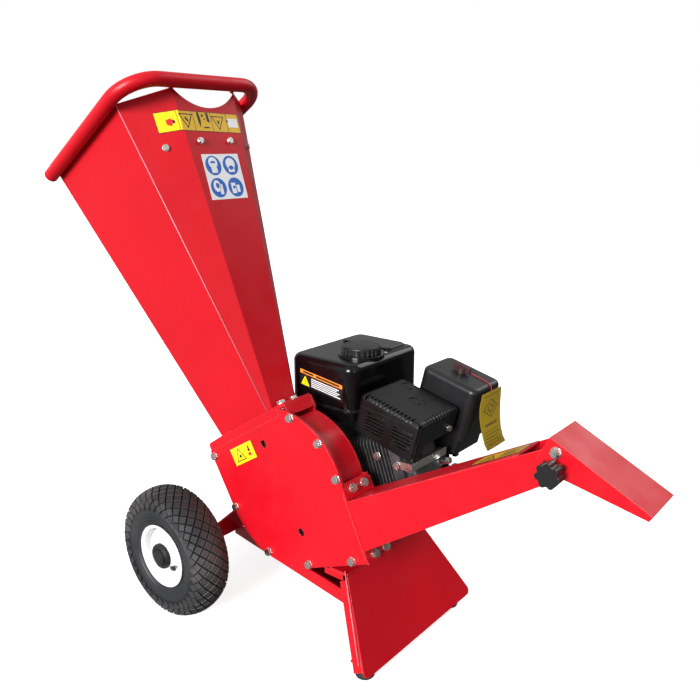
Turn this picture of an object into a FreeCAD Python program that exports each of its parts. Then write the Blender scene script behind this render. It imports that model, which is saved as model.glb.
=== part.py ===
"""Petrol wood chipper on two wheels and a leg: hopper, rotor casing, discharge chute and engine.

Millimetres, +Z up.  The ground is Z = 0 and the origin is the middle of the footprint.
+X points along the discharge chute, and -Y is the side of the casing's front plate.
Everything is first laid out from the wheel axle (X = 0 there, Y = 0 midway between the wheels)
and moved by AXLE_X and MIDDLE_Y at the end.
"""
import FreeCAD, Part
import math
import os

from FreeCAD import Placement, Rotation, Vector

# ---------------------------------------------------------------- driving dimensions
AXLE_X = -291.46                # wheel axle in the finished frame
MIDDLE_Y = 3.6                  # middle between the wheels in the finished frame

WHEEL_RADIUS = 128.0
WHEEL_HALF_WIDTH = 39.0
WHEEL_Y = 214.0                 # middle of each tyre
RIM_RADIUS = 62.0
HUB_RADIUS = 24.0
AXLE_RADIUS = 10.0
RUNNING = 0.05                  # radial clearance of a turning fit
SIDE_GAP = 0.3                  # gap between plates that move past each other

SHAFT_X, SHAFT_Z = 198.0, 281.5     # engine and rotor shaft
SHAFT_RADIUS = 10.0

CASING_FRONT, CASING_BACK = -120.0, -46.0
CASING_MIDDLE = (CASING_FRONT + CASING_BACK) / 2
PLATE = 4.0                     # casing plates
CASING_RADIUS = 152.0
RIM_INSET = 15.0                # casing wall behind the edge of the plates
WALL = 2.5
THROAT_U = (-98.0, 52.0)        # hopper throat, along the joint line
JOINT_V = 119.0                 # joint line between casing and hopper
FORE_V = 133.0                  # joint plane of the raised flange in front of the throat
FORE_END = 93.0
FORE_DEPTH = 21.0               # the raised flange's end strip, down from its joint plane
EAR_U = THROAT_U[1] + 20        # where the front plate's ear and the raised back plate start
JOINT_STRIP = 22.0              # back plate kept this wide along the joints
COVER_HOLE_RADIUS = 7.5
FLANGE_N = 147.4                # joint plane between casing and chute
DUCT_T = (-133.0, -44.6)        # chute opening in that plane
BOLT_CIRCLE = 144.4
KNIFE_REACH = 122.3             # tip circle of the rotor's knives
SWEEP_RADIUS = KNIFE_REACH + 2.0

HOPPER_TILT = 31.6
CHUTE_TILT = 25.2
CYLINDER_TILT = 20.0
COVER_TILT = -14.0              # muffler and air cleaner lean towards +X
DEFLECTOR_TILT = -26.3

MOUTH_V = 697.0
MOUTH_U = (-94.0, 191.0)            # low wall and high wall
MOUTH_FRONT = (136.0, 153.0, 73.0)  # start of the chamfer, half widths at its start and end
MOUTH_BACK = (152.0, 117.0, 66.0)   # the same on the engine's side
CHAMFER_LOW = 5.5                   # chamfer's size along u, just above the throat
SHEET = 2.0
HANDLE_RADIUS = 12.5

PIVOT = (515.5, 210.5)          # deflector pivot, from the shaft
STUD_RADIUS_OUT = 22.0          # clamp stud, from the pivot
STUD_ANGLE = -81.0
DEFLECTOR_UP, DEFLECTOR_DOWN = 45.0, 20.0

DECK_Z = 170.0
LEG_BASE_Z = 17.0
ENGINE_Z = 175.5
RAIL_Z = (108.0, 132.0)


# ---------------------------------------------------------------- frames and basic solids
def turned(angle, x, z):
    """A frame turned about Y: returns at(along, y, up) for points measured from (x, z)."""
    cosine, sine = math.cos(math.radians(angle)), math.sin(math.radians(angle))

    def at(along, y, up):
        return Vector(x + along * cosine - up * sine, y, z + along * sine + up * cosine)
    return at


level = turned(0.0, 0.0, 0.0)
shaft_at = turned(0.0, SHAFT_X, SHAFT_Z)
hopper_at = turned(HOPPER_TILT, SHAFT_X, SHAFT_Z)
chute_at = turned(CHUTE_TILT, SHAFT_X, SHAFT_Z)
cylinder_at = turned(CYLINDER_TILT, SHAFT_X, SHAFT_Z)
deflector_at = turned(DEFLECTOR_TILT, SHAFT_X + PIVOT[0], SHAFT_Z + PIVOT[1])
muffler_at = turned(COVER_TILT, 302.0, 460.0)
cleaner_at = turned(COVER_TILT, 339.0, 480.0)
leg_at = turned(28.7, 429.0, LEG_BASE_Z)


def outline(points, place):
    """Closed wire through 2-D points; ("arc", middle, end) is a round stretch to its end."""
    edges = []
    here = points[0]
    for step in points[1:] + [points[0]]:
        if step[0] == "arc":
            edges.append(Part.Arc(place(here), place(step[1]), place(step[2])).toShape())
            here = step[2]
        elif math.dist(here, step) > 0.001:
            edges.append(Part.makeLine(place(here), place(step)))
            here = step
    return Part.Wire(edges)


def slab(points, at, y):
    """Plate with that outline in the frame `at`, from y[0] to y[1]."""
    face = Part.Face(outline(points, lambda p: at(p[0], y[0], p[1])))
    return face.extrude(Vector(0, y[1] - y[0], 0))


def block(at, along, y, up):
    corners = [(along[0], up[0]), (along[1], up[0]), (along[1], up[1]), (along[0], up[1])]
    return slab(corners, at, y)


def loft(low, high):
    """Solid between two outlines with the same number of corners."""
    wires = [Part.makePolygon(corners + [corners[0]]) for corners in (low, high)]
    return Part.makeLoft(wires, True, True)


def rod(start, end, radius):
    start, end = Vector(start), Vector(end)
    return Part.makeCylinder(radius, (end - start).Length, start, end - start)


def tube(start, end, outer, inner):
    return rod(start, end, outer).cut(rod(start, end, inner))


def cross_rod(at, along, up, y, radius):
    """Round bar parallel to Y."""
    return rod(at(along, y[0], up), at(along, y[1], up), radius)


def rounded(shape, radius, picked):
    """Fillet the edges whose middle point `picked` accepts."""
    edges = [e for e in shape.Edges if picked(e.CenterOfMass)]
    return shape.makeFillet(radius, edges)


def stood(shape, at, direction):
    """Turn a shape made along +Z to stand at a point along a direction."""
    shape.Placement = Placement(Vector(at), Rotation(Vector(0, 0, 1), Vector(direction)))
    return shape


def hexagon(flats, height, lift=0.0):
    radius = flats / math.sqrt(3)
    corners = [Vector(radius * math.cos(math.radians(60 * k)),
                      radius * math.sin(math.radians(60 * k)), lift) for k in range(6)]
    return Part.Face(Part.makePolygon(corners + [corners[0]])).extrude(Vector(0, 0, height))


def bolt(at, direction, size, grip, tail=0.0):
    """Hex bolt with a washer: its head stands on `at`, its shank runs back by grip + tail."""
    washer = Part.makeCylinder(size * 1.0, size * 0.18)
    head = hexagon(size * 1.6, size * 0.62, size * 0.18)
    shank = Part.makeCylinder(size / 2, grip + tail, Vector(0, 0, -grip - tail))
    return stood(washer.fuse([head, shank]).removeSplitter(), at, direction)


def nut(at, direction, size):
    """Hex nut whose near face is at `at`, standing along `direction`."""
    body = hexagon(size * 1.6, size * 0.8).cut(Part.makeCylinder(size / 2, size * 0.8))
    return stood(body, at, direction)


def bolted(at, direction, size, grip):
    """A bolt through `grip` of plate and its nut on the far side."""
    back = Vector(at) - Vector(direction).normalize() * grip
    return [bolt(at, direction, size, grip, size * 0.95), nut(back, Vector(direction) * -1, size)]


def group(solids):
    return Part.makeCompound([s for shape in solids for s in shape.Solids])


# ---------------------------------------------------------------- wheels and axle
def spun(points, y):
    """Ring about the wheel axle from a profile of (offset from y, radius) points."""
    wire = outline(points, lambda p: Vector(0, y + p[0], WHEEL_RADIUS + p[1]))
    return Part.Face(wire).revolve(Vector(0, 0, WHEEL_RADIUS), Vector(0, 1, 0), 360)


def tyre(side):
    half, bead = WHEEL_HALF_WIDTH, RIM_RADIUS - 6
    profile = [(-31, bead), (-31, 64), ("arc", (-half, 92), (-half + 6, 119)),
               ("arc", (0, WHEEL_RADIUS), (half - 6, 119)), ("arc", (half, 92), (31, 64)),
               (31, bead)]
    return spun(profile, side * WHEEL_Y)


def wheel_rim(side):
    lip, base, barrel = RIM_RADIUS, RIM_RADIUS - 6, RIM_RADIUS - 9
    profile = [(-34, barrel), (-34, lip), (-31, lip), (-31, base), (31, base), (31, lip),
               (34, lip), (34, barrel)]
    dish = [(side * 14, barrel), (side * 22, 43), (side * 27, HUB_RADIUS), (side * 30, HUB_RADIUS),
            (side * 25, 44), (side * 18, barrel)]
    return spun(profile, side * WHEEL_Y).fuse(spun(dish, side * WHEEL_Y)).removeSplitter()


def wheel_hub(side):
    profile = [(-30, AXLE_RADIUS + RUNNING), (-30, HUB_RADIUS - 4), (-20, HUB_RADIUS),
               (33, HUB_RADIUS), (35.5, HUB_RADIUS - 2), (35.5, AXLE_RADIUS + RUNNING)]
    return spun([(side * w, r) for w, r in profile], side * WHEEL_Y)


def axle():
    return rod((0, -WHEEL_Y - 40, WHEEL_RADIUS), (0, WHEEL_Y + 40, WHEEL_RADIUS), AXLE_RADIUS)


def axle_collars():
    """Inner stop rings and outer push-on caps that hold the wheels."""
    inner = [spun([(side * -34, AXLE_RADIUS), (side * -34, 15), (side * -30.5, 15),
                   (side * -30.5, AXLE_RADIUS)], side * WHEEL_Y) for side in (-1, 1)]
    outer = [spun([(side * 36, AXLE_RADIUS), (side * 36, 15), (side * 39.5, 14),
                   (side * 39.5, AXLE_RADIUS)], side * WHEEL_Y) for side in (-1, 1)]
    return group(inner + outer)


# ---------------------------------------------------------------- base frame
def axle_beam():
    """Upright end plate welded along the axle."""
    points = [(-165, 114), (165, 114), (165, 140), (112, 148), (56, 162), (-56, 162),
              (-112, 148), (-165, 140)]
    wire = Part.makePolygon([Vector(AXLE_RADIUS, y, z) for y, z in points + [points[0]]])
    return Part.Face(wire).extrude(Vector(PLATE, 0, 0))


def frame_rails():
    """Two low bars that spread towards the leg with a tie plate between them, two straight bars
    under the deck, and a short bar from the leg's front corner to the casing."""
    rails = [block(level, (14, 310), (y, y + 4), (144, DECK_Z - 6)) for y in (-34, 106)]
    start, end, near, far = 14.0, 376.0, 73.0, 125.0
    for side in (-1, 1):
        low = [Vector(start, side * near, RAIL_Z[0]), Vector(start, side * (near - 4), RAIL_Z[0]),
               Vector(end, side * (far - 4), RAIL_Z[0]), Vector(end, side * far, RAIL_Z[0])]
        high = [corner + Vector(0, 0, RAIL_Z[1] - RAIL_Z[0]) for corner in low]
        rail = loft(low, high).cut(block(leg_at, (-3, 60), (-200, 200), (0, LEG_HEIGHT)))
        rails.append(rail.cut(leg_returns()))
    tie = []
    for x, side in ((180, -1), (180, 1), (366, 1), (366, -1)):
        half = near - 4.2 + (far - near) * (x - start) / (end - start)
        tie.append(Vector(x, side * half, RAIL_Z[0]))
    rails.append(Part.Face(Part.makePolygon(tie + [tie[0]])).extrude(Vector(0, 0, 3)))
    rails.append(block(level, (298, 340), (-115.9, -112), (148, 159.5)))
    return group(rails)


def deck_plate():
    plate = block(level, (90, 346), (-38, 124), (DECK_Z - 6, DECK_Z))
    for x, y in mount_points():
        plate = plate.cut(rod((x, y, 150), (x, y, 200), 4.0))
    return plate


def mount_points():
    return [(SHAFT_X + dx, y) for dx in (-81, 81) for y in (2, 78)]


def engine_pads():
    return group([tube((x, y, DECK_Z), (x, y, ENGINE_Z), 12, 4) for x, y in mount_points()])


def engine_mount_bolts():
    solids = []
    for x, y in mount_points():
        solids += bolted((x, y, ENGINE_Z + 11), (0, 0, 1), 8, 11 + ENGINE_Z - DECK_Z + 6)
    return solids


LEG_HEIGHT = 163.0
LEG_FOOT_Y = (-165.0, 177.0)    # corners of the lower edge
LEG_HEAD_Y = (-116.0, 116.0)


def leg_plate():
    corners = [leg_at(0, LEG_FOOT_Y[0], 0), leg_at(0, LEG_FOOT_Y[1], 0),
               leg_at(0, LEG_HEAD_Y[1], LEG_HEIGHT), leg_at(0, LEG_HEAD_Y[0], LEG_HEIGHT)]
    plate = Part.Face(Part.makePolygon(corners + [corners[0]]))
    plate = plate.extrude(leg_at(-3, 0, 0) - leg_at(0, 0, 0))
    return rounded(plate, 10, lambda m: m.z < LEG_BASE_Z + 2 and abs(m.y) > 164)


def leg_returns():
    solids = []
    for side, foot_y, head_y in zip((-1, 1), LEG_FOOT_Y, LEG_HEAD_Y):
        foot = [leg_at(along, foot_y - side * inset, 13)
                for along, inset in ((-3, 3), (-3, 6), (-23, 6), (-23, 3))]
        head = [leg_at(along, head_y - side * inset, LEG_HEIGHT - 6)
                for along, inset in ((-3, 0), (-3, 3), (-23, 3), (-23, 0))]
        solids.append(loft(foot, head))
    return solids


FOOT_X, FOOT_Y, FOOT_HEIGHT = 404.5, 134.0, 25.5


def leg():
    """Slanted plate with side, top and bottom returns."""
    solids = [leg_plate()] + leg_returns()
    solids.append(block(level, (310, 351), LEG_HEAD_Y, (DECK_Z - 9.9, DECK_Z - 6)))
    base = block(level, (385, 418), (-150, 150), (FOOT_HEIGHT, FOOT_HEIGHT + 3))
    for side in (-1, 1):
        base = base.cut(rod((FOOT_X, side * FOOT_Y, 20), (FOOT_X, side * FOOT_Y, 35), 3))
    solids.append(base)
    return group(solids)


def rubber_feet():
    feet = []
    for side in (-1, 1):
        foot = Part.makeCone(17, 15, FOOT_HEIGHT, Vector(FOOT_X, side * FOOT_Y, 0))
        bore = rod((FOOT_X, side * FOOT_Y, 8), (FOOT_X, side * FOOT_Y, 26), 3)
        feet.append(foot.makeFillet(3, [e for e in foot.Edges if e.CenterOfMass.z < 1]).cut(bore))
    return group(feet)


def foot_bolts():
    return [bolt((FOOT_X, side * FOOT_Y, FOOT_HEIGHT + 3), (0, 0, 1), 6, 17) for side in (-1, 1)]


# ---------------------------------------------------------------- rotor casing
INSIDE_Y = (CASING_FRONT + PLATE, CASING_BACK - PLATE)


def casing_points():
    """Casing outline in the hopper frame: straight left side, round back, corner at the chute."""
    r = CASING_RADIUS
    top = math.sqrt(r * r - JOINT_V * JOINT_V)
    low = math.radians(-20.7)
    middle = (math.atan2(JOINT_V, top) + low) / 2
    return [(-r, JOINT_V), (top, JOINT_V),
            ("arc", (r * math.cos(middle), r * math.sin(middle)), (r * math.cos(low), r * math.sin(low))),
            (129, -170.5), (-6, -r),
            ("arc", (r * math.cos(math.radians(225)), r * math.sin(math.radians(225))), (-r, 0))]


def casing_slab(inset, y):
    wire = outline(casing_points(), lambda p: hopper_at(p[0], y[0], p[1]))
    face = Part.Face(wire)
    if inset:
        face = face.makeOffset2D(-inset)
    return face.extrude(Vector(0, y[1] - y[0], 0))


def casing_corner(y):
    """Ear of the front plate beside the raised flange, above the joint line."""
    r = CASING_RADIUS
    low, high = math.atan2(JOINT_V - 1, math.sqrt(r * r - (JOINT_V - 1) ** 2)), math.asin(FORE_V / r)
    middle = (low + high) / 2
    points = [(EAR_U, JOINT_V - 1), (EAR_U, FORE_V), (r * math.cos(high), FORE_V),
              ("arc", (r * math.cos(middle), r * math.sin(middle)), (r * math.cos(low), r * math.sin(low)))]
    return slab(points, hopper_at, y)


def casing_bolt_places():
    """(u, v) of the eight cover bolts: six on the bolt circle and two near the corners."""
    round_the_edge = [(BOLT_CIRCLE * math.cos(math.radians(a)), BOLT_CIRCLE * math.sin(math.radians(a)))
                      for a in (47.5, 18.7, -8.2, 180, 224, 266)]
    return round_the_edge + [(-144.6, 106), (98, -158.9)]


def casing_front_plate():
    y = (CASING_FRONT, CASING_FRONT + PLATE)
    plate = casing_slab(0, y).fuse(casing_corner(y)).removeSplitter()
    for u, v in casing_bolt_places():
        plate = plate.cut(cross_rod(hopper_at, u, v, (-130, -100), 4))
    for v in (86, -86):
        plate = plate.cut(cross_rod(hopper_at, 3, v, (-130, -100), COVER_HOLE_RADIUS))
    return plate


def casing_back_plate():
    y = (CASING_BACK - PLATE, CASING_BACK)
    whole = casing_slab(0, y)
    low_v = JOINT_V - JOINT_STRIP
    joints = [whole.common(block(hopper_at, (-CASING_RADIUS, EAR_U), y, (low_v, JOINT_V))),
              whole.common(block(chute_at, (FLANGE_N - JOINT_STRIP, FLANGE_N), y, (-157, -16))),
              slab([(THROAT_U[1], low_v), (FORE_END - 9, low_v), (FORE_END, FORE_V - FORE_DEPTH),
                    (FORE_END, FORE_V), (EAR_U, FORE_V), (EAR_U, JOINT_V), (THROAT_U[1], JOINT_V)],
                   hopper_at, y)]
    plate = casing_slab(RIM_INSET, y).fuse(joints).removeSplitter()
    plate = plate.cut(cross_rod(shaft_at, 0, 0, (-60, -40), 16))
    for x, z in cover_bolt_places():
        plate = plate.cut(cross_rod(shaft_at, x, z, (-60, -40), 4))
    return plate


FLANGE_BOLT_Y = (CASING_MIDDLE - 15, CASING_MIDDLE + 15)
FORE_BOLT_U, FORE_BOLT_Y = 76.0, (-106.0, -74.0)
CHUTE_BOLT_T = (-29, -145)


def knife_guard():
    """Strip round the knives' circle, from the throat's front edge to the curved wall."""
    ends = (math.acos(THROAT_U[1] / SWEEP_RADIUS), math.asin((JOINT_V - RIM_INSET - 1) / SWEEP_RADIUS))

    def polar(radius, angle):
        return (radius * math.cos(angle), radius * math.sin(angle))
    inner, outer, middle = SWEEP_RADIUS, SWEEP_RADIUS + WALL, sum(ends) / 2
    return slab([polar(inner, ends[0]), ("arc", polar(inner, middle), polar(inner, ends[1])),
                 polar(outer, ends[1]), ("arc", polar(outer, middle), polar(outer, ends[0]))],
                hopper_at, INSIDE_Y)


def casing_wall():
    """Curved wall between the plates, with the cover flange and the two joint flanges."""
    wall = casing_slab(RIM_INSET, INSIDE_Y).cut(casing_slab(RIM_INSET + WALL, INSIDE_Y))
    lip = (INSIDE_Y[0], INSIDE_Y[0] + 3)
    wall = wall.fuse(casing_slab(1, lip).cut(casing_slab(RIM_INSET + 0.5, lip)))
    v_in, n_in = JOINT_V - RIM_INSET - WALL, FLANGE_N - RIM_INSET - WALL
    wall = wall.cut(cross_rod(hopper_at, 0, 0, INSIDE_Y, SWEEP_RADIUS))
    v_clear = SWEEP_RADIUS * math.sin(math.acos(THROAT_U[1] / SWEEP_RADIUS))
    extra = [block(hopper_at, (THROAT_U[0] - 3, THROAT_U[0]), INSIDE_Y, (v_in, JOINT_V)),
             block(hopper_at, (THROAT_U[1], THROAT_U[1] + 3), INSIDE_Y, (v_clear, FORE_V)),
             block(hopper_at, (-148, THROAT_U[0]), INSIDE_Y, (JOINT_V - 3, JOINT_V)),
             block(hopper_at, (THROAT_U[1], FORE_END), INSIDE_Y, (FORE_V - 3, FORE_V)),
             block(hopper_at, (FORE_END - 3, FORE_END), INSIDE_Y, (FORE_V - FORE_DEPTH, FORE_V)),
             block(chute_at, (n_in, FLANGE_N), INSIDE_Y, (DUCT_T[0] - 3, DUCT_T[0])),
             block(chute_at, (n_in, FLANGE_N), INSIDE_Y, (DUCT_T[1], DUCT_T[1] + 3)),
             block(chute_at, (FLANGE_N - 3, FLANGE_N), INSIDE_Y, (-153, -17))]
    wall = wall.fuse(extra + [knife_guard()])
    wall = wall.cut(block(hopper_at, THROAT_U, INSIDE_Y, (v_in - 5, JOINT_V + 1)))
    wall = wall.cut(block(chute_at, (n_in - 5, FLANGE_N + 1), INSIDE_Y, DUCT_T))
    for u, v in casing_bolt_places():
        wall = wall.cut(cross_rod(hopper_at, u, v, lip, 4))
    for y in FORE_BOLT_Y:
        wall = wall.cut(rod(hopper_at(FORE_BOLT_U, y, 120), hopper_at(FORE_BOLT_U, y, 140), 4))
    for y in FLANGE_BOLT_Y:
        for t in CHUTE_BOLT_T:
            wall = wall.cut(rod(chute_at(135, y, t), chute_at(160, y, t), 4))
    return wall.removeSplitter()


def casing_bolts():
    solids = []
    for u, v in casing_bolt_places():
        solids.append(bolt(hopper_at(u, CASING_FRONT, v), (0, -1, 0), 8, PLATE + 3))
    return solids


def bed_knife():
    """Fixed counter knife that the rotor cuts against, below the throat's rear edge."""
    return slab([(-134.4, 66), (-108, 66), (-106, 74), (-134.4, 74)], hopper_at, INSIDE_Y)


# ---------------------------------------------------------------- hopper
HOPPER_V = (JOINT_V + 16, MOUTH_V)
HIGH_WALL = math.degrees(math.atan2(MOUTH_U[1] - THROAT_U[1] - SHEET, HOPPER_V[1] - HOPPER_V[0]))
FLAP_BOLT_DOWN, FLAP_BOLT_Y = 92.0, (-122.0, -54.0)
CHAMFER_BOLT_FRONT, CHAMFER_BOLT_BACK = 39.0, 32.0      # from each chamfer's fold


def hopper_base():
    """Frame on the casing's joint flange that carries the hopper."""
    v0, v1 = JOINT_V, JOINT_V + 16
    front = slab([(-149, v0), (-149, v0 + 8), ("arc", (-147, v0 + 12), (-143, v0 + 14)),
                  (THROAT_U[0] - SHEET, v1), (THROAT_U[1] + SHEET, v1), (71.5, v0 + 11), (71.5, v0)],
                 hopper_at, (CASING_FRONT, CASING_FRONT + PLATE))
    back = front.translated(Vector(0, CASING_BACK - CASING_FRONT - PLATE, 0))
    rear = block(hopper_at, (-148, THROAT_U[0]), INSIDE_Y, (v0, v0 + 4))
    fore = block(hopper_at, (THROAT_U[1] + SHEET + 0.6, FORE_END), INSIDE_Y, (FORE_V, FORE_V + 4))
    fore = fore.fuse(block(hopper_at, (THROAT_U[1], THROAT_U[1] + SHEET + 0.6), INSIDE_Y, (FORE_V, v1)))
    for y in FORE_BOLT_Y:
        fore = fore.cut(rod(hopper_at(FORE_BOLT_U, y, 120), hopper_at(FORE_BOLT_U, y, 140), 4))
    low = block(hopper_at, (THROAT_U[0] - SHEET, THROAT_U[0]), INSIDE_Y, (v0 + 4, v1))
    return group([front, back, rear, fore.removeSplitter(), low])


def hopper_corners(v, low_u, high_u, sides, inset):
    """Outline at height v moved in by inset; a side is its chamfer's start and its two half widths."""
    corners = []
    for side, (chamfer_u, half_low, half_high) in zip((-1, 1), sides):
        run, rise = high_u - chamfer_u, half_low - half_high
        slant = math.hypot(run, rise)
        corners += [(low_u + inset, side * (half_low - inset)),
                    (chamfer_u - inset * (slant - rise) / run, side * (half_low - inset)),
                    (high_u - inset, side * (half_high - inset * (slant - run) / rise))]
    return [hopper_at(u, CASING_MIDDLE + y, v) for u, y in corners[:3] + corners[:2:-1]]


def hopper_section(v, inset):
    """Hopper outline at height v: it widens from the throat to the mouth."""
    share = (v - HOPPER_V[0]) / (HOPPER_V[1] - HOPPER_V[0])
    throat_half = (CASING_BACK - CASING_FRONT) / 2
    throat_u = (THROAT_U[0] - SHEET, THROAT_U[1] + SHEET)
    low_u, high_u = [a + (b - a) * share for a, b in zip(throat_u, MOUTH_U)]
    sides = []
    for mouth in (MOUTH_FRONT, MOUTH_BACK):
        drop = CHAMFER_LOW * (mouth[1] - mouth[2]) / (MOUTH_U[1] - mouth[0])
        throat = (THROAT_U[1] + SHEET - CHAMFER_LOW, throat_half, throat_half - drop)
        sides.append([a + (b - a) * share for a, b in zip(throat, mouth)])
    return hopper_corners(v, low_u, high_u, sides, inset)


def high_wall_point(y, down, lift=0.0):
    """Point on the outside of the hopper's high wall, `down` from its top edge."""
    slope = math.radians(HIGH_WALL)
    return hopper_at(MOUTH_U[1] - down * math.sin(slope) + lift * math.cos(slope), y,
                     MOUTH_V - down * math.cos(slope) - lift * math.sin(slope))


def chamfer_bolt_place(side):
    """Place and outward direction of the flap bolt in the front (-1) or back (1) chamfer."""
    v = MOUTH_V - FLAP_BOLT_DOWN * math.cos(math.radians(HIGH_WALL))
    corners = hopper_section(v, 0)
    low = hopper_section(HOPPER_V[0], 0)
    far, fold = (1, 2) if side < 0 else (4, 3)
    across = (corners[far] - corners[fold]).normalize()
    outward = across.cross(corners[fold] - low[fold]).normalize() * side
    return corners[fold] + across * (CHAMFER_BOLT_FRONT if side < 0 else CHAMFER_BOLT_BACK), outward


def hopper_panels():
    """Six folded panels: rear, front, front chamfer, high wall, back chamfer and back."""
    low = [hopper_section(HOPPER_V[0], inset) for inset in (0, SHEET)]
    high = [hopper_section(HOPPER_V[1], inset) for inset in (0, SHEET)]
    panels = []
    for k in range(6):
        j = (k + 1) % 6
        panels.append(loft([low[0][k], low[0][j], low[1][j], low[1][k]],
                           [high[0][k], high[0][j], high[1][j], high[1][k]]))
    chord, depth = 140.0, 33.0
    radius = (chord * chord / 4 + depth * depth) / (2 * depth)
    cutter = rod(high_wall_point(CASING_MIDDLE, depth - radius, -40),
                 high_wall_point(CASING_MIDDLE, depth - radius, 40), radius)
    panels[2] = panels[2].cut(cutter)
    for y in FLAP_BOLT_Y:
        panels[2] = panels[2].cut(rod(high_wall_point(y, FLAP_BOLT_DOWN, -9),
                                      high_wall_point(y, FLAP_BOLT_DOWN, 9), 3))
    for k, side in ((1, -1), (3, 1)):
        place, outward = chamfer_bolt_place(side)
        panels[k] = panels[k].cut(rod(place - outward * 9, place + outward * 9, 3))
    return group(panels)


def hopper_flange_bolts():
    solids = []
    for y in FORE_BOLT_Y:
        up = hopper_at(0, y, 1) - hopper_at(0, y, 0)
        solids += bolted(hopper_at(FORE_BOLT_U, y, FORE_V + 4), up, 8, 7)
    return solids


def feed_flap():
    """Rubber curtain inside the mouth, hung from the high wall."""
    strip = [high_wall_point(CASING_MIDDLE, FLAP_BOLT_DOWN + d, -SHEET - t)
             for d, t in ((-14, 0), (14, 0), (14, 4), (-14, 4))]
    strip = Part.Face(Part.makePolygon(strip + [strip[0]])).extrude(Vector(0, 104, 0))
    strip.translate(Vector(0, -56, 0))
    hang = high_wall_point(CASING_MIDDLE, FLAP_BOLT_DOWN + 12, -SHEET - 4)
    curtain = block(turned(0, hang.x, hang.z), (-5, -1), (CASING_MIDDLE - 66, CASING_MIDDLE + 52),
                    (-190, 0))
    return strip.fuse(curtain)


def flap_bolts():
    outward = high_wall_point(0, 0, 1) - high_wall_point(0, 0, 0)
    bolts = [bolt(high_wall_point(y, FLAP_BOLT_DOWN), outward, 6, SHEET) for y in FLAP_BOLT_Y]
    return bolts + [bolt(*chamfer_bolt_place(side), 6, SHEET) for side in (-1, 1)]


def m6_bolts():
    """Small bolts: through the rubber feet, round the feed flap and in the muffler cover."""
    end = bolt(muffler_at(133, *COVER_BOLT), muffler_at(1, 0, 0) - muffler_at(0, 0, 0), 6, 2)
    return group(foot_bolts() + flap_bolts() + [end])


HANDLE_V = MOUTH_V + 3
HANDLE_END_U = -100.0
HANDLE_TOP_U = 207.0
HANDLE_BENDS = (62.0, 54.0)


def handle_rail():
    """Tube along the mouth's front edge, over the high end and back along the other edge."""
    def place(point):
        return hopper_at(point[0], CASING_MIDDLE + point[1], HANDLE_V)
    corners, middles = [], []
    for side, mouth, bend in zip((-1, 1), (MOUTH_FRONT, MOUTH_BACK), HANDLE_BENDS):
        half = mouth[1] + HANDLE_RADIUS + 0.2
        inner_u, inner_y, slant = HANDLE_TOP_U - bend, half - bend, bend * math.sqrt(0.5)
        corners += [(HANDLE_END_U, side * half), (inner_u, side * half), (HANDLE_TOP_U, side * inner_y)]
        middles.append((inner_u + slant, side * (inner_y + slant)))
    corners = corners[:3] + corners[:2:-1]
    edges = [Part.makeLine(place(corners[0]), place(corners[1])),
             Part.Arc(place(corners[1]), place(middles[0]), place(corners[2])).toShape(),
             Part.makeLine(place(corners[2]), place(corners[3])),
             Part.Arc(place(corners[3]), place(middles[1]), place(corners[4])).toShape(),
             Part.makeLine(place(corners[4]), place(corners[5]))]
    along = hopper_at(1, 0, 0) - hopper_at(0, 0, 0)
    profile = Part.Wire(Part.makeCircle(HANDLE_RADIUS, place(corners[0]), along))
    return Part.Wire(edges).makePipeShell([profile], True, False, 2)


# ---------------------------------------------------------------- chute and deflector
CHUTE_TOP = ((150.4, -45.2), (494.0, -23.3))        # duct top line in the chute frame
CHUTE_LOW = ((150.4, -133.0), (434.0, -84.6))       # duct floor line, which ends early


def chute_flange():
    plate = block(chute_at, (FLANGE_N, FLANGE_N + 3), (CASING_FRONT, CASING_BACK), (-157, -16))
    plate = plate.cut(block(chute_at, (140, 155), INSIDE_Y, DUCT_T))
    for y in FLANGE_BOLT_Y:
        for t in CHUTE_BOLT_T:
            plate = plate.cut(rod(chute_at(140, y, t), chute_at(160, y, t), 4))
    plate = plate.cut(casing_slab(0, (CASING_FRONT, INSIDE_Y[0] + 3)))
    return plate.cut(casing_slab(0, (INSIDE_Y[1], CASING_BACK)))


def chute_side(y):
    """Side plate of the duct, with the ear that carries the deflector pivot and the clamp stud."""
    def local(x, z):
        """Point given from the shaft, as (n, t) in the chute frame."""
        turn = math.radians(CHUTE_TILT)
        return (x * math.cos(turn) + z * math.sin(turn), z * math.cos(turn) - x * math.sin(turn))
    px, pz = PIVOT
    points = [CHUTE_LOW[0], CHUTE_LOW[1], (519, -70.0), local(531, 182),
              local(px + 8, pz), ("arc", local(px + 5.6, pz + 5.6), local(px, pz + 8)),
              local(px - 9, pz + 6), local(px - 27, pz - 5.5), CHUTE_TOP[0]]
    plate = slab(points, chute_at, y)
    return plate.cut(cross_rod(shaft_at, px, pz, y, 4))


def stud_place():
    angle = math.radians(STUD_ANGLE)
    return PIVOT[0] + STUD_RADIUS_OUT * math.cos(angle), PIVOT[1] + STUD_RADIUS_OUT * math.sin(angle)


def chute():
    """Joint flange and the four plates of the duct."""
    front = chute_side((CASING_FRONT, CASING_FRONT + 3))
    front = front.cut(cross_rod(shaft_at, *stud_place(), (-130, -100), 4 + RUNNING))
    back = chute_side((CASING_BACK - 3, CASING_BACK))
    inside = (CASING_FRONT + 3, CASING_BACK - 3)
    (n0, t0), (n1, t1) = CHUTE_TOP
    roof = slab([(n0, t0), (n0, t0 - 3), (n1, t1 - 3), (n1, t1)], chute_at, inside)
    (n0, t0), (n1, t1) = CHUTE_LOW
    floor = slab([(n0, t0), (n1, t1), (n1, t1 + 3), (n0, t0 + 3)], chute_at, inside)
    return group([chute_flange(), front, back, roof, floor])


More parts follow.
